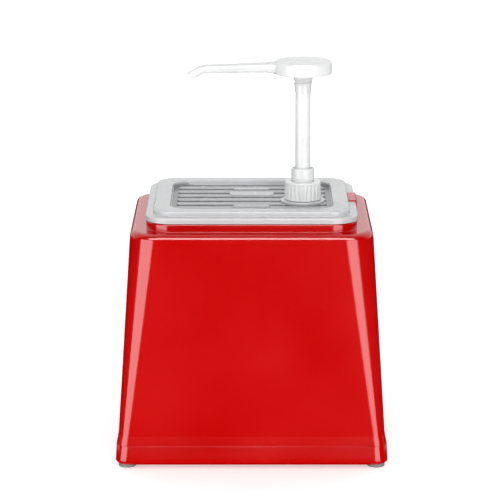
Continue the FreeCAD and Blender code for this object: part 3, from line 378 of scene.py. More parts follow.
def meshFromTree(name, tree, sizes, start=None):
    obj = newObject(name, start or bpy.data.meshes.new(name))
    build = obj.modifiers.new("build", "NODES")
    build.node_group = tree
    for item in tree.interface.items_tree:
        if item.item_type == "SOCKET" and item.in_out == "INPUT" and item.name in sizes:
            build[item.identifier] = sizes[item.name]
    mesh = evaluatedMesh(obj, name)
    bpy.data.objects.remove(obj)
    return mesh


def middle(node):
    low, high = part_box(node)
    return ((low[0] + high[0]) / 2 / mm, (low[1] + high[1]) / 2 / mm)


def span(node, axis=2):
    low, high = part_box(node)
    return low[axis] / mm, high[axis] / mm


def inset(half, by, corner):
    return (half[0] - by, half[1] - by, max(corner - by, 0.5))


axis = middle("closure_cap")  # the pump's upright axis

# tapered casing: a moulded shell with a rounded ledge, a raised seat and an opening for the pan
casingSizes = {"footHalf": (112, 105), "footCorner": 10, "flareHalf": (110.5, 103.5), "flareRise": 8,
    "topHalf": (100.7, 93.7), "topCorner": 24, "ledgeRound": 5, "seatHalf": (87.5, 80.5), "seatCorner": 21.5,
    "seatRise": 6.5, "openHalf": (79.3, 72.3), "openCorner": 14.3, "wall": 3}
casingLow, casingTop = span("casing_shell")
ledge = casingTop - casingSizes["seatRise"]
shoulder = ledge - casingSizes["ledgeRound"] - 0.5
shellWall = casingSizes["wall"]
casingRows = [(*casingSizes["footHalf"], casingSizes["footCorner"], casingLow, 0.3),
    (*casingSizes["flareHalf"], casingSizes["footCorner"], casingLow + casingSizes["flareRise"], 3),
    (*casingSizes["topHalf"], casingSizes["topCorner"], shoulder, 0),
    (*casingSizes["topHalf"], casingSizes["topCorner"], ledge, casingSizes["ledgeRound"]),
    (*casingSizes["seatHalf"], casingSizes["seatCorner"], ledge, 0.6),
    (*casingSizes["seatHalf"], casingSizes["seatCorner"], casingTop, 1.2),
    (*casingSizes["openHalf"], casingSizes["openCorner"], casingTop, 0.8),
    (*casingSizes["openHalf"], casingSizes["openCorner"], ledge - shellWall, 0.5),
    (*inset(casingSizes["topHalf"], shellWall, casingSizes["topCorner"]), ledge - shellWall, 2),
    (*inset(casingSizes["topHalf"], shellWall, casingSizes["topCorner"]), shoulder - 0.5, 0),
    (*inset(casingSizes["flareHalf"], shellWall, casingSizes["footCorner"]), casingLow + casingSizes["flareRise"], 0),
    (*inset(casingSizes["footHalf"], shellWall, casingSizes["footCorner"]), casingLow, 0.3)]
casing = newObject("casingShell", outlineMesh("casingShell", casingRows, closed=True, steps=8, perCorner=20))
finishPiece(casing, "casing", "casing_red", ["casing_shell"])
print("casing made")

# lid: skirt, raised border, sunken panel with ribs and blank plaques, boss and threaded neck for the pump
lidSizes = {"half": (88, 81), "corner": 22, "skirtWall": 1.5, "edgeRound": 1.2, "flange": 2.2,
    "plateauHalf": (81.5, 74.5), "plateauCorner": 16, "plateauRise": 4.3, "plateauRound": 1.5, "panelHalf": (68, 61),
    "panelCorner": 18, "panelDepth": 4, "wall": 1.8, "plugHalf": (75.4, 68.4), "plugCorner": 11, "plugDrop": 5.9,
    "skirtDrop": 2.8, "bossRadius": 18.75, "bossRise": 3.5, "bossSink": 0.9, "neckRadius": 13, "boreRadius": 12,
    "boreBelow": 6, "boreAbove": 3}
ribSizes = {"Count": 6, "Pitch": 17.0, "Length": 126.0, "Width": 9.0, "Height": 1.4, "Edge Round": 0.9}
plaqueSizes = [((0, 12), (38, 13), 4), ((0, 34), (31, 5), 2), ((0, -40), (31, 5), 2)]
plaqueRise = 2.4
sink = 0.6  # how far ribs and plaques reach into the panel, so that they join
plugLow, neckTop = span("pan_lid")
rim = plugLow + lidSizes["plugDrop"]
skirtLow = rim - lidSizes["skirtDrop"]
flangeTop = rim + lidSizes["flange"]
plateau = flangeTop + lidSizes["plateauRise"]
panel = plateau - lidSizes["panelDepth"]
lidWall = lidSizes["wall"]

lidRows = [(*inset(lidSizes["panelHalf"], -lidWall, lidSizes["panelCorner"]), panel - lidWall, 0),
    (*inset(lidSizes["panelHalf"], -lidWall, lidSizes["panelCorner"]), plateau - lidWall, 0.8),
    (*inset(lidSizes["plugHalf"], lidWall, lidSizes["plugCorner"]), plateau - lidWall, 0.3),
    (*inset(lidSizes["plugHalf"], lidWall, lidSizes["plugCorner"]), rim - lidSizes["plugDrop"], 0.4),
    (*lidSizes["plugHalf"], lidSizes["plugCorner"], rim - lidSizes["plugDrop"], 0.4),
    (*lidSizes["plugHalf"], lidSizes["plugCorner"], plateau - lidWall, 0.3),
    (*inset(lidSizes["plateauHalf"], lidWall, lidSizes["plateauCorner"]), plateau - lidWall, 0.4),
    (*inset(lidSizes["plateauHalf"], lidWall, lidSizes["plateauCorner"]), rim, 0.3),
    (*inset(lidSizes["half"], lidSizes["skirtWall"], lidSizes["corner"]), rim, 0.4),
    (*inset(lidSizes["half"], lidSizes["skirtWall"], lidSizes["corner"]), skirtLow, 0.3),
    (*lidSizes["half"], lidSizes["corner"], skirtLow, 0.4),
    (*lidSizes["half"], lidSizes["corner"], flangeTop, lidSizes["edgeRound"]),
    (*lidSizes["plateauHalf"], lidSizes["plateauCorner"], flangeTop, 0.8),
    (*lidSizes["plateauHalf"], lidSizes["plateauCorner"], plateau, lidSizes["plateauRound"]),
    (*lidSizes["panelHalf"], lidSizes["panelCorner"], plateau, 1.2),
    (*lidSizes["panelHalf"], lidSizes["panelCorner"], panel, 1.0),
    (*inset(lidSizes["panelHalf"], 3, lidSizes["panelCorner"]), panel, 0)]
lidMesh = outlineMesh("ribbedLid", lidRows, steps=5, perCorner=14)

ribTree, ribInput = treeWith("lidRibs", ribSizes)
line = addNode(ribTree, "GeometryNodeMeshLine", {"mode": "OFFSET"}, {"Count": ribInput.outputs["Count"]})
pitchStep = addNode(ribTree, "ShaderNodeCombineXYZ", links={"Y": ribInput.outputs["Pitch"]})
firstShare = addNode(ribTree, "ShaderNodeMath", {"operation": "MULTIPLY_ADD", 1: -0.5, 2: 0.5},
    {0: ribInput.outputs["Count"]})
firstY = addNode(ribTree, "ShaderNodeMath", {"operation": "MULTIPLY"},
    {0: firstShare.outputs["Value"], 1: ribInput.outputs["Pitch"]})
firstAt = addNode(ribTree, "ShaderNodeCombineXYZ", links={"Y": firstY.outputs["Value"]})
ribTree.links.new(pitchStep.outputs["Vector"], line.inputs["Offset"])
ribTree.links.new(firstAt.outputs["Vector"], line.inputs["Start Location"])
ribLine = addNode(ribTree, "GeometryNodeCurvePrimitiveQuadrilateral", {"mode": "RECTANGLE"},
    {"Width": ribInput.outputs["Length"], "Height": ribInput.outputs["Width"]})
ribEnds = addNode(ribTree, "GeometryNodeFilletCurve",
    {"mode": "POLY", "Count": 8, "Limit Radius": True, "Radius": 3.0}, {"Curve": ribLine.outputs["Curve"]})
ribFace = addNode(ribTree, "GeometryNodeFillCurve", {"mode": "NGONS"}, {"Curve": ribEnds.outputs["Curve"]})
ribUp = addNode(ribTree, "ShaderNodeMath", {"operation": "ADD", 1: sink}, {0: ribInput.outputs["Height"]})
ribBody = addNode(ribTree, "GeometryNodeExtrudeMesh", {"mode": "FACES", "Individual": False},
    {"Mesh": ribFace.outputs["Mesh"], "Offset Scale": ribUp.outputs["Value"]})
ribUnder = addNode(ribTree, "GeometryNodeFlipFaces", links={"Mesh": ribFace.outputs["Mesh"]})
ribWhole = addNode(ribTree, "GeometryNodeJoinGeometry")
ribTree.links.new(ribBody.outputs["Mesh"], ribWhole.inputs["Geometry"])
ribTree.links.new(ribUnder.outputs["Mesh"], ribWhole.inputs["Geometry"])
ribClosed = addNode(ribTree, "GeometryNodeMergeByDistance", {"Distance": 0.001},
    {"Geometry": ribWhole.outputs["Geometry"]})
ribCopies = addNode(ribTree, "GeometryNodeInstanceOnPoints",
    links={"Points": line.outputs["Mesh"], "Instance": ribClosed.outputs["Geometry"]})
endTree(ribTree, ribCopies.outputs["Instances"], milkyPolypropylene)
ribMesh = meshFromTree("lidRibs", ribTree, ribSizes)
ribMesh.transform(Matrix.Scale(mm, 4))
ribMesh.transform(Matrix.Translation((0, 0, (panel - sink) * mm)))
work = bmesh.new()
work.from_mesh(ribMesh)
bmesh.ops.bevel(work, geom=[e for e in work.edges if all(v.co.z > panel * mm for v in e.verts)],
    offset=ribSizes["Edge Round"] * mm, segments=4, affect="EDGES", profile=0.5)
work.to_mesh(ribMesh)
work.free()
plaques = []
for (px, py), (wide, deep), corner in plaqueSizes:
    rows = [(wide / 2, deep / 2, corner, panel - sink, 0), (wide / 2, deep / 2, corner, panel + plaqueRise, 0.6),
        (wide / 2 - 1, deep / 2 - 1, corner - 1, panel + plaqueRise, 0)]
    plaques.append(ringMesh("plaque",
        [outline(*row, centre=(px, py), perCorner=8) for row in roundedProfile(rows, 4)]))
bossTop = panel + lidSizes["bossRise"]
bossRows = [(lidSizes["bossRadius"], panel - lidSizes["bossSink"], 0), (lidSizes["bossRadius"], bossTop, 1.0),
    (lidSizes["neckRadius"], bossTop, 0.5), (lidSizes["neckRadius"], neckTop, 0.3),
    (lidSizes["neckRadius"] - 0.6, neckTop, 0)]
boss = turnedMesh("pumpBoss", bossRows, axis)
bore = turnedMesh("pumpBore", [(lidSizes["boreRadius"], panel - lidSizes["boreBelow"], 0),
    (lidSizes["boreRadius"], neckTop + lidSizes["boreAbove"], 0)], axis)
lidMesh = combine(lidMesh, [ribMesh] + plaques + [boss], "UNION")
lidMesh = combine(lidMesh, [bore], "DIFFERENCE")
lid = newObject("ribbedLid", lidMesh)
finishPiece(lid, "lid", "lid_clear", ["pan_lid"], 35)
print("lid made")

# screw cap: the flutes press into a turned blank
capSizes = {"lowRadius": 15.65, "topRadius": 15.15, "topRound": 1.2, "lowRound": 0.8, "bore": 14.1, "mouth": 9.9,
    "topWall": 1.8, "gripAbove": 14.9, "longRun": 4, "fadeRows": 14, "flutesLowUp": 1.2, "flutesTopDown": 2.2,
    "fadeUp": 1.2, "fadeDown": 0.8}
fluteSizes = {"Flutes": 24, "Flute Depth": 0.7 * mm, "Grip Radius": 14.6 * mm}
capLow, capTop = span("closure_cap")
capRows = [(capSizes["lowRadius"], capLow, capSizes["lowRound"]),
    (capSizes["topRadius"], capTop, capSizes["topRound"]), (capSizes["mouth"], capTop, 0.3),
    (capSizes["mouth"], capTop - capSizes["topWall"], 0.2), (capSizes["bore"], capTop - capSizes["topWall"], 0.6),
    (capSizes["bore"], capLow, 0.3)]
blankPath = roundedProfile(capRows, 5, True)
# rows between the rounds give the flutes somewhere to fade out
blankRows = []
for i, row in enumerate(blankPath):
    blankRows.append(row)
    nextRow = blankPath[(i + 1) % len(blankPath)]
    if min(row[0], nextRow[0]) > capSizes["gripAbove"] and nextRow[1] - row[1] > capSizes["longRun"]:
        blankRows += [row.lerp(nextRow, k / capSizes["fadeRows"]) for k in range(1, capSizes["fadeRows"])]
blank = ringMesh("capBlank", [circle(row[0], row[1], (0, 0), fluteSizes["Flutes"] * 12) for row in blankRows], True)
fluteSizes["Low"] = (capLow + capSizes["flutesLowUp"]) * mm
fluteSizes["High"] = (capTop - capSizes["flutesTopDown"]) * mm
fluteTree, fluteInput = treeWith("capFlutes", fluteSizes)
place = addNode(fluteTree, "GeometryNodeInputPosition")
placeParts = addNode(fluteTree, "ShaderNodeSeparateXYZ", links={"Vector": place.outputs["Position"]})
bearing = addNode(fluteTree, "ShaderNodeMath", {"operation": "ARCTAN2"},
    {0: placeParts.outputs["Y"], 1: placeParts.outputs["X"]})
turns = addNode(fluteTree, "ShaderNodeMath", {"operation": "MULTIPLY"},
    {0: bearing.outputs["Value"], 1: fluteInput.outputs["Flutes"]})
wave = addNode(fluteTree, "ShaderNodeMath", {"operation": "COSINE"}, {0: turns.outputs["Value"]})
groove = addNode(fluteTree, "ShaderNodeMapRange",
    {"From Min": -0.35, "From Max": 1.0, "interpolation_type": "SMOOTHSTEP"}, {"Value": wave.outputs["Value"]})
highEdge = addNode(fluteTree, "ShaderNodeMath", {"operation": "ADD", 1: capSizes["fadeUp"] * mm},
    {0: fluteInput.outputs["High"]})
lowEdge = addNode(fluteTree, "ShaderNodeMath", {"operation": "SUBTRACT", 1: capSizes["fadeDown"] * mm},
    {0: fluteInput.outputs["Low"]})
topFade = addNode(fluteTree, "ShaderNodeMapRange", {"To Min": 1.0, "To Max": 0.0, "interpolation_type": "SMOOTHSTEP"},
    {"Value": placeParts.outputs["Z"], "From Min": fluteInput.outputs["High"], "From Max": highEdge.outputs["Value"]})
lowFade = addNode(fluteTree, "ShaderNodeMapRange", {"To Min": 0.0, "To Max": 1.0, "interpolation_type": "SMOOTHSTEP"},
    {"Value": placeParts.outputs["Z"], "From Min": lowEdge.outputs["Value"], "From Max": fluteInput.outputs["Low"]})
flatPlace = addNode(fluteTree, "ShaderNodeCombineXYZ",
    links={"X": placeParts.outputs["X"], "Y": placeParts.outputs["Y"]})
away = addNode(fluteTree, "ShaderNodeVectorMath", {"operation": "LENGTH"}, {0: flatPlace.outputs["Vector"]})
inwards = addNode(fluteTree, "ShaderNodeVectorMath", {"operation": "NORMALIZE"}, {0: flatPlace.outputs["Vector"]})
outside = addNode(fluteTree, "ShaderNodeMath", {"operation": "GREATER_THAN"},
    {0: away.outputs["Value"], 1: fluteInput.outputs["Grip Radius"]})
bothFades = addNode(fluteTree, "ShaderNodeMath", {"operation": "MULTIPLY"},
    {0: topFade.outputs["Result"], 1: lowFade.outputs["Result"]})
share = addNode(fluteTree, "ShaderNodeMath", {"operation": "MULTIPLY"},
    {0: bothFades.outputs["Value"], 1: groove.outputs["Result"]})
deep = addNode(fluteTree, "ShaderNodeMath", {"operation": "MULTIPLY"},
    {0: share.outputs["Value"], 1: fluteInput.outputs["Flute Depth"]})
kept = addNode(fluteTree, "ShaderNodeMath", {"operation": "MULTIPLY"},
    {0: deep.outputs["Value"], 1: outside.outputs["Value"]})
back = addNode(fluteTree, "ShaderNodeMath", {"operation": "MULTIPLY", 1: -1.0}, {0: kept.outputs["Value"]})
shift = addNode(fluteTree, "ShaderNodeVectorMath", {"operation": "SCALE"},
    {0: inwards.outputs["Vector"], "Scale": back.outputs["Value"]})
pressed = addNode(fluteTree, "GeometryNodeSetPosition",
    links={"Geometry": fluteInput.outputs["Geometry"], "Offset": shift.outputs["Vector"]})
endTree(fluteTree, pressed.outputs["Geometry"], whitePolypropylene)
capMesh = meshFromTree("screwCap", fluteTree, fluteSizes, blank)
capMesh.transform(Matrix.Translation((axis[0] * mm, axis[1] * mm, 0)))
cap = newObject("screwCap", capMesh)
finishPiece(cap, "cap", "pump_white", ["closure_cap"], 40)
print("cap made")

# return spring: a helix of wire whose ends lie on the cage and under the piston core
springLow, springTop = span("return_spring")
springSizes = {"Coils": 11.0, "Mean Radius": 8.5, "Wire Radius": 0.65}
springSizes["Height"] = springTop - springLow - 2 * springSizes["Wire Radius"]
springTree, springInput = treeWith("returnSpring", springSizes)
helix = addNode(springTree, "GeometryNodeCurveSpiral", {"Resolution": 40},
    {"Rotations": springInput.outputs["Coils"], "Start Radius": springInput.outputs["Mean Radius"],
    "End Radius": springInput.outputs["Mean Radius"], "Height": springInput.outputs["Height"]})
section = addNode(springTree, "GeometryNodeCurvePrimitiveCircle", {"Resolution": 12},
    {"Radius": springInput.outputs["Wire Radius"]})
wire = addNode(springTree, "GeometryNodeCurveToMesh", {"Fill Caps": True},
    {"Curve": helix.outputs["Curve"], "Profile Curve": section.outputs["Curve"]})
endTree(springTree, wire.outputs["Mesh"], springWire)
springMesh = meshFromTree("returnSpring", springTree, springSizes)
springMesh.transform(Matrix.Scale(mm, 4))
springMesh.transform(Matrix.Translation((axis[0] * mm, axis[1] * mm, (springLow + springSizes["Wire Radius"]) * mm)))
spring = newObject("returnSpring", springMesh)
finishPiece(spring, "pump_body", "spring_steel", ["return_spring"], 60)
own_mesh(spring)
print("spring made")

# lock collar: sleeve with a narrow waist over the cap, its flange under the cap and the stem's guide below
collarLow, collarTop = span("lock_collar")
flangeLow = span("pump_barrel")[1]
flangeUp = capTop - capSizes["topWall"]
collarSizes = {"guideRadius": 10.4, "guideBore": 6.38, "flangeRadius": 13, "waistRadius": 8.9, "sleeveRadius": 9.6,
    "sleeveBore": 8.2, "sleeveFloorDown": 0.4, "waistUp": 1.9, "sleeveUp": 3}
collarRows = [(collarSizes["guideRadius"], collarLow, 0.3), (collarSizes["guideRadius"], flangeLow, 0.1),
    (collarSizes["flangeRadius"], flangeLow, 0.15), (collarSizes["flangeRadius"], flangeUp, 0.15),
    (collarSizes["waistRadius"], flangeUp, 0.2), (collarSizes["waistRadius"], capTop + collarSizes["waistUp"], 0.6),
    (collarSizes["sleeveRadius"], capTop + collarSizes["sleeveUp"], 0.6),
    (collarSizes["sleeveRadius"], collarTop, 0.7), (collarSizes["sleeveBore"], collarTop, 0.35),
    (collarSizes["sleeveBore"], flangeLow - collarSizes["sleeveFloorDown"], 0.3),
    (collarSizes["guideBore"], flangeLow - collarSizes["sleeveFloorDown"], 0.3),
    (collarSizes["guideBore"], collarLow, 0.2)]
collar = newObject("lockCollar", turnedMesh("lockCollar", collarRows, axis, closed=True))
finishPiece(collar, "pump_body", "pump_white", ["lock_collar"], 40)

# plunger stem: a plain tube with a wider bore below the outlet ball's stop
stemLow, stemTop = span("stem")
stemSizes = {"radius": 6.3, "bore": 4.4, "upperBore": 2.8, "stopUp": 18.34, "footGap": 0.03}
stemLow += stemSizes["footGap"]  # a hair above the piston it stands on
stemRows = [(stemSizes["radius"], stemLow, 0.25), (stemSizes["radius"], stemTop, 0.25),
    (stemSizes["upperBore"], stemTop, 0.15), (stemSizes["upperBore"], stemLow + stemSizes["stopUp"], 0.15),
    (stemSizes["bore"], stemLow + stemSizes["stopUp"], 0.15), (stemSizes["bore"], stemLow, 0.2)]
stem = newObject("plungerStem", turnedMesh("plungerStem", stemRows, axis, closed=True, count=72))
finishPiece(stem, "plunger", "pump_white", ["stem"], 40)

# push head: hollow disc over the lock plug, with a long spout whose root flares into the disc
headSizes = {"radius": 23.9, "height": 11.8, "topRound": 3.0, "lowRound": 1.6, "wall": 2.4, "plugRadius": 7.1,
    "stepRadius": 6.95, "socket": 6.34, "channel": 3.5, "flangeRadius": 9.3, "flangeHeight": 1.4,
    "collarRadius": 8.05, "collarHeight": 4.6, "plugLength": 11.9, "ribs": 6, "ribWidth": 1.6, "ribSink": 0.3,
    "crown": 0.25}
spoutSizes = {"reach": 81.0, "fall": 1.5, "rootRadius": 4.65, "tipRadius": 3.65, "wall": 1.2, "bendRadius": 12.0,
    "bend": 26.5, "tip": 9.6, "cut": 36.0, "axisUp": 6.2, "flareWide": 2.4, "flareDown": 1.7, "flareUp": 0.7,
    "flareRun": 3.2}
threadSizes = {"Turns": 2.0, "Pitch": 3.5, "Root": 7.0, "Depth": 0.75, "Base": 1.7, "Root Half": 1.0,
    "Tip Half": 0.3, "Tip Rise": 0.1}
headLow, headTop = span("pump_head")
discLow = headTop - headSizes["height"]
headRows = [(headSizes["channel"], headTop - headSizes["wall"], 0), (headSizes["channel"], stemTop, 0.2),
    (headSizes["socket"], stemTop, 0.1), (headSizes["socket"], headLow, 0.2),
    (headSizes["stepRadius"], headLow, 0.25), (headSizes["stepRadius"], discLow - headSizes["plugLength"], 0.1),
    (headSizes["plugRadius"], discLow - headSizes["plugLength"], 0.1),
    (headSizes["plugRadius"], discLow - headSizes["collarHeight"], 0.3),
    (headSizes["collarRadius"], discLow - headSizes["collarHeight"], 0.3),
    (headSizes["collarRadius"], discLow - headSizes["flangeHeight"], 0.2),
    (headSizes["flangeRadius"], discLow - headSizes["flangeHeight"], 0.35),
    (headSizes["flangeRadius"], discLow, 0.35), (headSizes["plugRadius"], discLow, 0.3),
    (headSizes["plugRadius"], headTop - headSizes["wall"], 0.8),
    (headSizes["radius"] - headSizes["wall"], headTop - headSizes["wall"], 0.8),
    (headSizes["radius"] - headSizes["wall"], discLow, 0.6), (headSizes["radius"], discLow, headSizes["lowRound"]),
    (headSizes["radius"], headTop - headSizes["crown"], headSizes["topRound"]),
    (headSizes["radius"] * 0.5, headTop, 2), (1.0, headTop, 0)]
disc = turnedMesh("pushHead", headRows, axis, count=128, steps=7)

ribs = []
for n in range(headSizes["ribs"]):
    a = math.radians(360 / headSizes["ribs"] * n)
    near = headSizes["plugRadius"] - headSizes["ribSink"]
    far = headSizes["radius"] - headSizes["wall"] + headSizes["ribSink"]
    wide = headSizes["ribWidth"] / 2
    corners = [(near, -wide), (far, -wide), (far, wide), (near, wide)]
    ring = [(axis[0] + x * math.cos(a) - y * math.sin(a), axis[1] + x * math.sin(a) + y * math.cos(a))
        for x, y in corners]
    ribs.append(ringMesh("headRib",
        [[(x, y, z) for x, y in ring] for z in (stemTop, headTop - headSizes["wall"] + headSizes["ribSink"])]))

# the spout is a tube along its own line: outside out to the tip, then back along the bore
fall, bend = math.radians(spoutSizes["fall"]), math.radians(spoutSizes["bend"])
spoutStart = Vector((axis[0], axis[1], discLow + spoutSizes["axisUp"]))
stations = []
runSteps = [10, 16, 19, 21, 22, 22.8, 23.5, 24.2, 25, 26, 27, 28.5, 30, 32, 35, 40, 50, 60, 70, 76, 80,
    spoutSizes["reach"]]
for d in runSteps:
    along = Vector((-math.cos(fall), 0, -math.sin(fall)))
    radius = spoutSizes["rootRadius"] + (spoutSizes["tipRadius"] - spoutSizes["rootRadius"]) * d / spoutSizes["reach"]
    stations.append((spoutStart + along * d, fall, radius,
        math.exp(-max(0, d - headSizes["radius"]) / spoutSizes["flareRun"])))
bendStart = stations[-1][0]
bendCentre = bendStart + Vector((math.sin(fall), 0, -math.cos(fall))) * spoutSizes["bendRadius"]
bendSteps = 14
for n in range(1, bendSteps + 1):
    phi = fall + bend * n / bendSteps
    stations.append((bendCentre + Vector((-math.sin(phi), 0, math.cos(phi))) * spoutSizes["bendRadius"], phi,
        spoutSizes["tipRadius"], 0))
bendEnd = stations[-1][0]
for d in (0.6, 3, 6, spoutSizes["tip"]):
    phi = fall + bend
    stations.append((bendEnd + Vector((-math.cos(phi), 0, -math.sin(phi))) * d, phi, spoutSizes["tipRadius"], 0))


def spoutRing(centre, phi, radius, flare, cut=None, count=48):
    along = Vector((-math.cos(phi), 0, -math.sin(phi)))
    up = Vector((math.sin(phi), 0, -math.cos(phi)))
    across = Vector((0, 1, 0))
    ring = []
    for n in range(count):
        a = 2 * math.pi * n / count
        wide, down = math.cos(a), math.sin(a)
        flareHere = spoutSizes["flareDown"] if down > 0 else spoutSizes["flareUp"]
        point = centre + across * wide * (radius + spoutSizes["flareWide"] * flare)
        point = point + up * down * (radius + flareHere * flare)
        if cut is not None:
            point += along * ((centre - point).dot(cut) / along.dot(cut))
        ring.append(tuple(point))
    return ring


cutNormal = Vector((-math.sin(math.radians(spoutSizes["cut"])), 0, -math.cos(math.radians(spoutSizes["cut"]))))
outer = [spoutRing(*station) for station in stations[:-1]] + [spoutRing(*stations[-1], cut=cutNormal)]
inner = [spoutRing(centre, phi, radius - spoutSizes["wall"], 0) for centre, phi, radius, flare in stations[:-1]]
tipCentre, tipPhi, tipRadius = stations[-1][:3]
lip = [spoutRing(tipCentre, tipPhi, tipRadius - spoutSizes["wall"], 0, cut=cutNormal)]
spout = ringMesh("spout", outer + lip + inner[::-1])

# the lock plug's thread: a ridge wound round the plug
ridge = []
turnSteps, fadeSteps = 48, 8
for n in range(int(threadSizes["Turns"] * turnSteps) + 1):
    a = 2 * math.pi * n / turnSteps
    z = discLow - headSizes["plugLength"] + threadSizes["Base"] + threadSizes["Pitch"] * n / turnSteps
    fade = min(1, n / fadeSteps, (threadSizes["Turns"] * turnSteps - n) / fadeSteps)
    tip = threadSizes["Root"] + threadSizes["Tip Rise"] + threadSizes["Depth"] * fade
    turn = Vector((math.cos(a), math.sin(a), 0))
    base = Vector((axis[0], axis[1], 0))
    rootHalf, tipHalf = threadSizes["Root Half"], threadSizes["Tip Half"]
    ridgeSection = ((threadSizes["Root"], -rootHalf), (tip, -tipHalf), (tip, tipHalf),
        (threadSizes["Root"], rootHalf))
    ridge.append([tuple(base + turn * r + Vector((0, 0, z + dz))) for r, dz in ridgeSection])
thread = ringMesh("plugThread", ridge)
work = bmesh.new()
work.from_mesh(thread)
bmesh.ops.recalc_face_normals(work, faces=work.faces)
work.to_mesh(thread)
work.free()
head = newObject("pushHead", joinMeshes("pushHead", [disc, spout, thread] + ribs))
finishPiece(head, "plunger", "pump_white", ["pump_head"], 35)
print("pump head made")

# rubber feet: one turned foot set at the four places
footSizes = {"radius": 7.3, "height": 3.0, "edgeRound": 0.9, "stem": 2.5, "recessIn": 1.6, "recessUp": 0.35}
footNodes = ["foot_front_left", "foot_front_right", "foot_rear_left", "foot_rear_right"]
footStemTop = span(footNodes[0])[1]
foot = turnedMesh("rubberFoot",
    [(footSizes["radius"] - footSizes["recessIn"], footSizes["recessUp"], 0),
    (footSizes["radius"] - footSizes["recessIn"], 0, 0.3),
    (footSizes["radius"], 0, footSizes["edgeRound"]), (footSizes["radius"], footSizes["height"], 0.15),
    (footSizes["stem"], footSizes["height"], 0.3), (footSizes["stem"], footStemTop, 0.6), (0.6, footStemTop, 0)],
    (0, 0), count=48)
footPart = newObject("footPart", foot)
footTree, footInput = treeWith("rubberFeet", {"Size": 1.0})
footInfo = addNode(footTree, "GeometryNodeObjectInfo", {"Object": footPart})
footCopies = addNode(footTree, "GeometryNodeInstanceOnPoints",
    links={"Points": footInput.outputs["Geometry"], "Instance": footInfo.outputs["Geometry"],
    "Scale": footInput.outputs["Size"]})
endTree(footTree, footCopies.outputs["Instances"], greyRubber)
footPlaces = bpy.data.meshes.new("footPlaces")
footPlaces.from_pydata([(middle(name)[0] * mm, middle(name)[1] * mm, 0) for name in footNodes], [], [])
feetMesh = meshFromTree("rubberFeet", footTree, {"Size": 1.0}, footPlaces)
bpy.data.objects.remove(footPart)
feet = newObject("rubberFeet", feetMesh)
finishPiece(feet, "casing", "foot_rubber", footNodes, 40)
print("feet made")

# parts whose shape the frame already has right
copies = [
    ("baseTray", "base_tray", "casing", "casing_red"),
    ("foodPan", "pan", "pan", "pan_clear"),
    ("markerClip", "colour_clip", "clip", "clip_red"),
    ("pumpBarrel", "pump_barrel", "pump_body", "pump_white"),
    ("suctionTube", "dip_tube", "pump_body", "pump_white"),
]
for name, node, body, slot in copies:
    smoothCopy(name, node, body, slot)
print("pieces made")

# what stays as the CAD has it gets its own finish
kept = {"tray_screws": "screw_steel", "neck_gasket": "gasket_rubber", "ball_cage": "pump_white",
    "piston_seal": "seal_white", "piston_core": "pump_white", "inlet_ball": "ball_steel", "outlet_ball": "ball_steel"}
for node, slot in kept.items():
    for place in nodes[node].material_slots:
        place.material = finishes[slot]

# studio: pale floor, dark room below the horizon in what gloss sees, bright sweep behind, soft boxes for reflections
studio = {"floorSize": 14.0, "floorColour": "FAFAFA", "floorGlow": 0.42, "skyFill": 0.10, "sweep": 1.0,
    "boxPower": 4, "boxAim": 0.2}
glossBoxes = {
    "glossBoxLeft": {"bearing": -47, "distance": 1.0, "height": 0.2, "wide": 0.84, "tall": 0.62, "radiance": 3.9},
    "glossBoxRight": {"bearing": 30, "distance": 1.0, "height": 0.2, "wide": 0.66, "tall": 0.62, "radiance": 3.9},
    "glossBoxFront": {"bearing": 0, "distance": 1.0, "height": 1.2, "wide": 2.0, "tall": 0.8, "radiance": 7.5}}
daylight = {"topLight": {"strength": 0.4, "angle": 60, "tilt": 0},
    "frontLight": {"strength": 1.9, "angle": 50, "tilt": 66}}
floorMesh = bpy.data.meshes.new("studioFloor")
half = studio["floorSize"] / 2
floorMesh.from_pydata([(-half, -half, 0), (half, -half, 0), (half, half, 0), (-half, half, 0)], [], [(0, 1, 2, 3)])
floor = bpy.data.objects.new("studioFloor", floorMesh)
bpy.context.scene.collection.objects.link(floor)
floorPaint = emptyMaterial("paleFloor")
paint = addNode(floorPaint.node_tree, "ShaderNodeBsdfPrincipled",
    {"Base Color": linear(studio["floorColour"]), "Roughness": 0.8, "Specular IOR Level": 0.1,
    "Emission Color": (1, 1, 1, 1), "Emission Strength": studio["floorGlow"]})
addNode(floorPaint.node_tree, "ShaderNodeOutputMaterial", links={"Surface": paint.outputs["BSDF"]})
floorMesh.materials.append(floorPaint)
floor.visible_glossy = False

world = bpy.data.worlds.new("studioWorld")
bpy.context.scene.world = world
world.use_nodes = True
sky = world.node_tree
sky.nodes.clear()
rays = addNode(sky, "ShaderNodeLightPath")
direction = addNode(sky, "ShaderNodeTexCoord")
parts = addNode(sky, "ShaderNodeSeparateXYZ", links={"Vector": direction.outputs["Generated"]})
behind = addNode(sky, "ShaderNodeMapRange",
    {"From Min": -0.1, "From Max": 0.5, "To Min": 0.0, "To Max": 1.0, "interpolation_type": "SMOOTHSTEP"},
    {"Value": parts.outputs["Y"]})
above = addNode(sky, "ShaderNodeMapRange",
    {"From Min": -0.02, "From Max": 0.06, "To Min": 0.0, "To Max": 1.0, "interpolation_type": "SMOOTHSTEP"},
    {"Value": parts.outputs["Z"]})
sweep = addNode(sky, "ShaderNodeMath", {"operation": "MULTIPLY"},
    {0: behind.outputs["Result"], 1: above.outputs["Result"]})
level = addNode(sky, "ShaderNodeMath", {"operation": "MULTIPLY", 1: studio["sweep"]}, {0: sweep.outputs["Value"]})
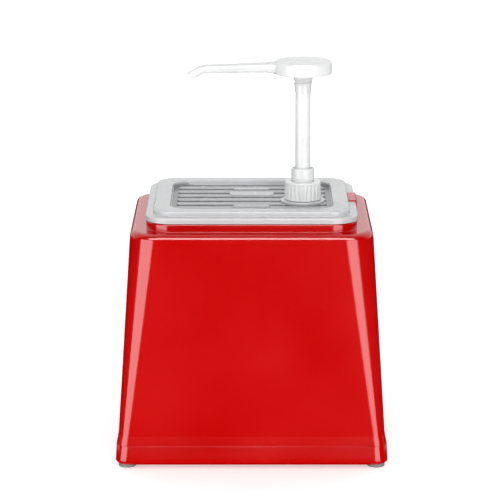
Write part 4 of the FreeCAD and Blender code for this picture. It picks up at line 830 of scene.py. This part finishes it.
fill = addNode(sky, "ShaderNodeMath", {"operation": "MULTIPLY_ADD", 1: studio["skyFill"]},
    {0: rays.outputs["Is Diffuse Ray"], 2: level.outputs["Value"]})
shown = addNode(sky, "ShaderNodeMath", {"operation": "MAXIMUM"},
    {0: rays.outputs["Is Camera Ray"], 1: fill.outputs["Value"]})
glow = addNode(sky, "ShaderNodeBackground", {"Color": (1, 1, 1, 1)}, {"Strength": shown.outputs["Value"]})
addNode(sky, "ShaderNodeOutputWorld", links={"Surface": glow.outputs["Background"]})

# gloss boxes show only in reflections, and two broad soft suns give the even light
for name, box in glossBoxes.items():
    light = bpy.data.lights.new(name, "AREA")
    light.shape = "RECTANGLE"
    light.size, light.size_y = box["wide"], box["tall"]
    light.energy = box["radiance"] * studio["boxPower"] * box["wide"] * box["tall"]
    obj = bpy.data.objects.new(name, light)
    turn = math.radians(box["bearing"])
    obj.location = (math.sin(turn) * box["distance"], -math.cos(turn) * box["distance"], box["height"])
    aim = Vector((0, 0, min(box["height"], studio["boxAim"]))) - obj.location
    obj.rotation_euler = aim.to_track_quat("-Z", "Y").to_euler()
    obj.visible_diffuse = False
    obj.visible_transmission = False
    bpy.context.scene.collection.objects.link(obj)
for name, soft in daylight.items():
    light = bpy.data.lights.new(name, "SUN")
    light.energy = soft["strength"]
    light.angle = math.radians(soft["angle"])
    obj = bpy.data.objects.new(name, light)
    obj.rotation_euler = (math.radians(soft["tilt"]), 0, 0)
    obj.visible_glossy = False
    bpy.context.scene.collection.objects.link(obj)

view = {"lens": 184.64, "sensor": 36, "farClip": 50, "place": (-0.00138, -2.13975, 0.63958), "tilt": 77.42}
cameraData = bpy.data.cameras.new("studioCamera")
cameraData.lens = view["lens"]
cameraData.sensor_width = view["sensor"]
cameraData.clip_end = view["farClip"]
camera = bpy.data.objects.new("studioCamera", cameraData)
camera.location = view["place"]
camera.rotation_euler = (math.radians(view["tilt"]), 0, 0)
bpy.context.scene.collection.objects.link(camera)
bpy.context.scene.camera = camera
bpy.context.scene.view_settings.view_transform = "Standard"
print("studio made")
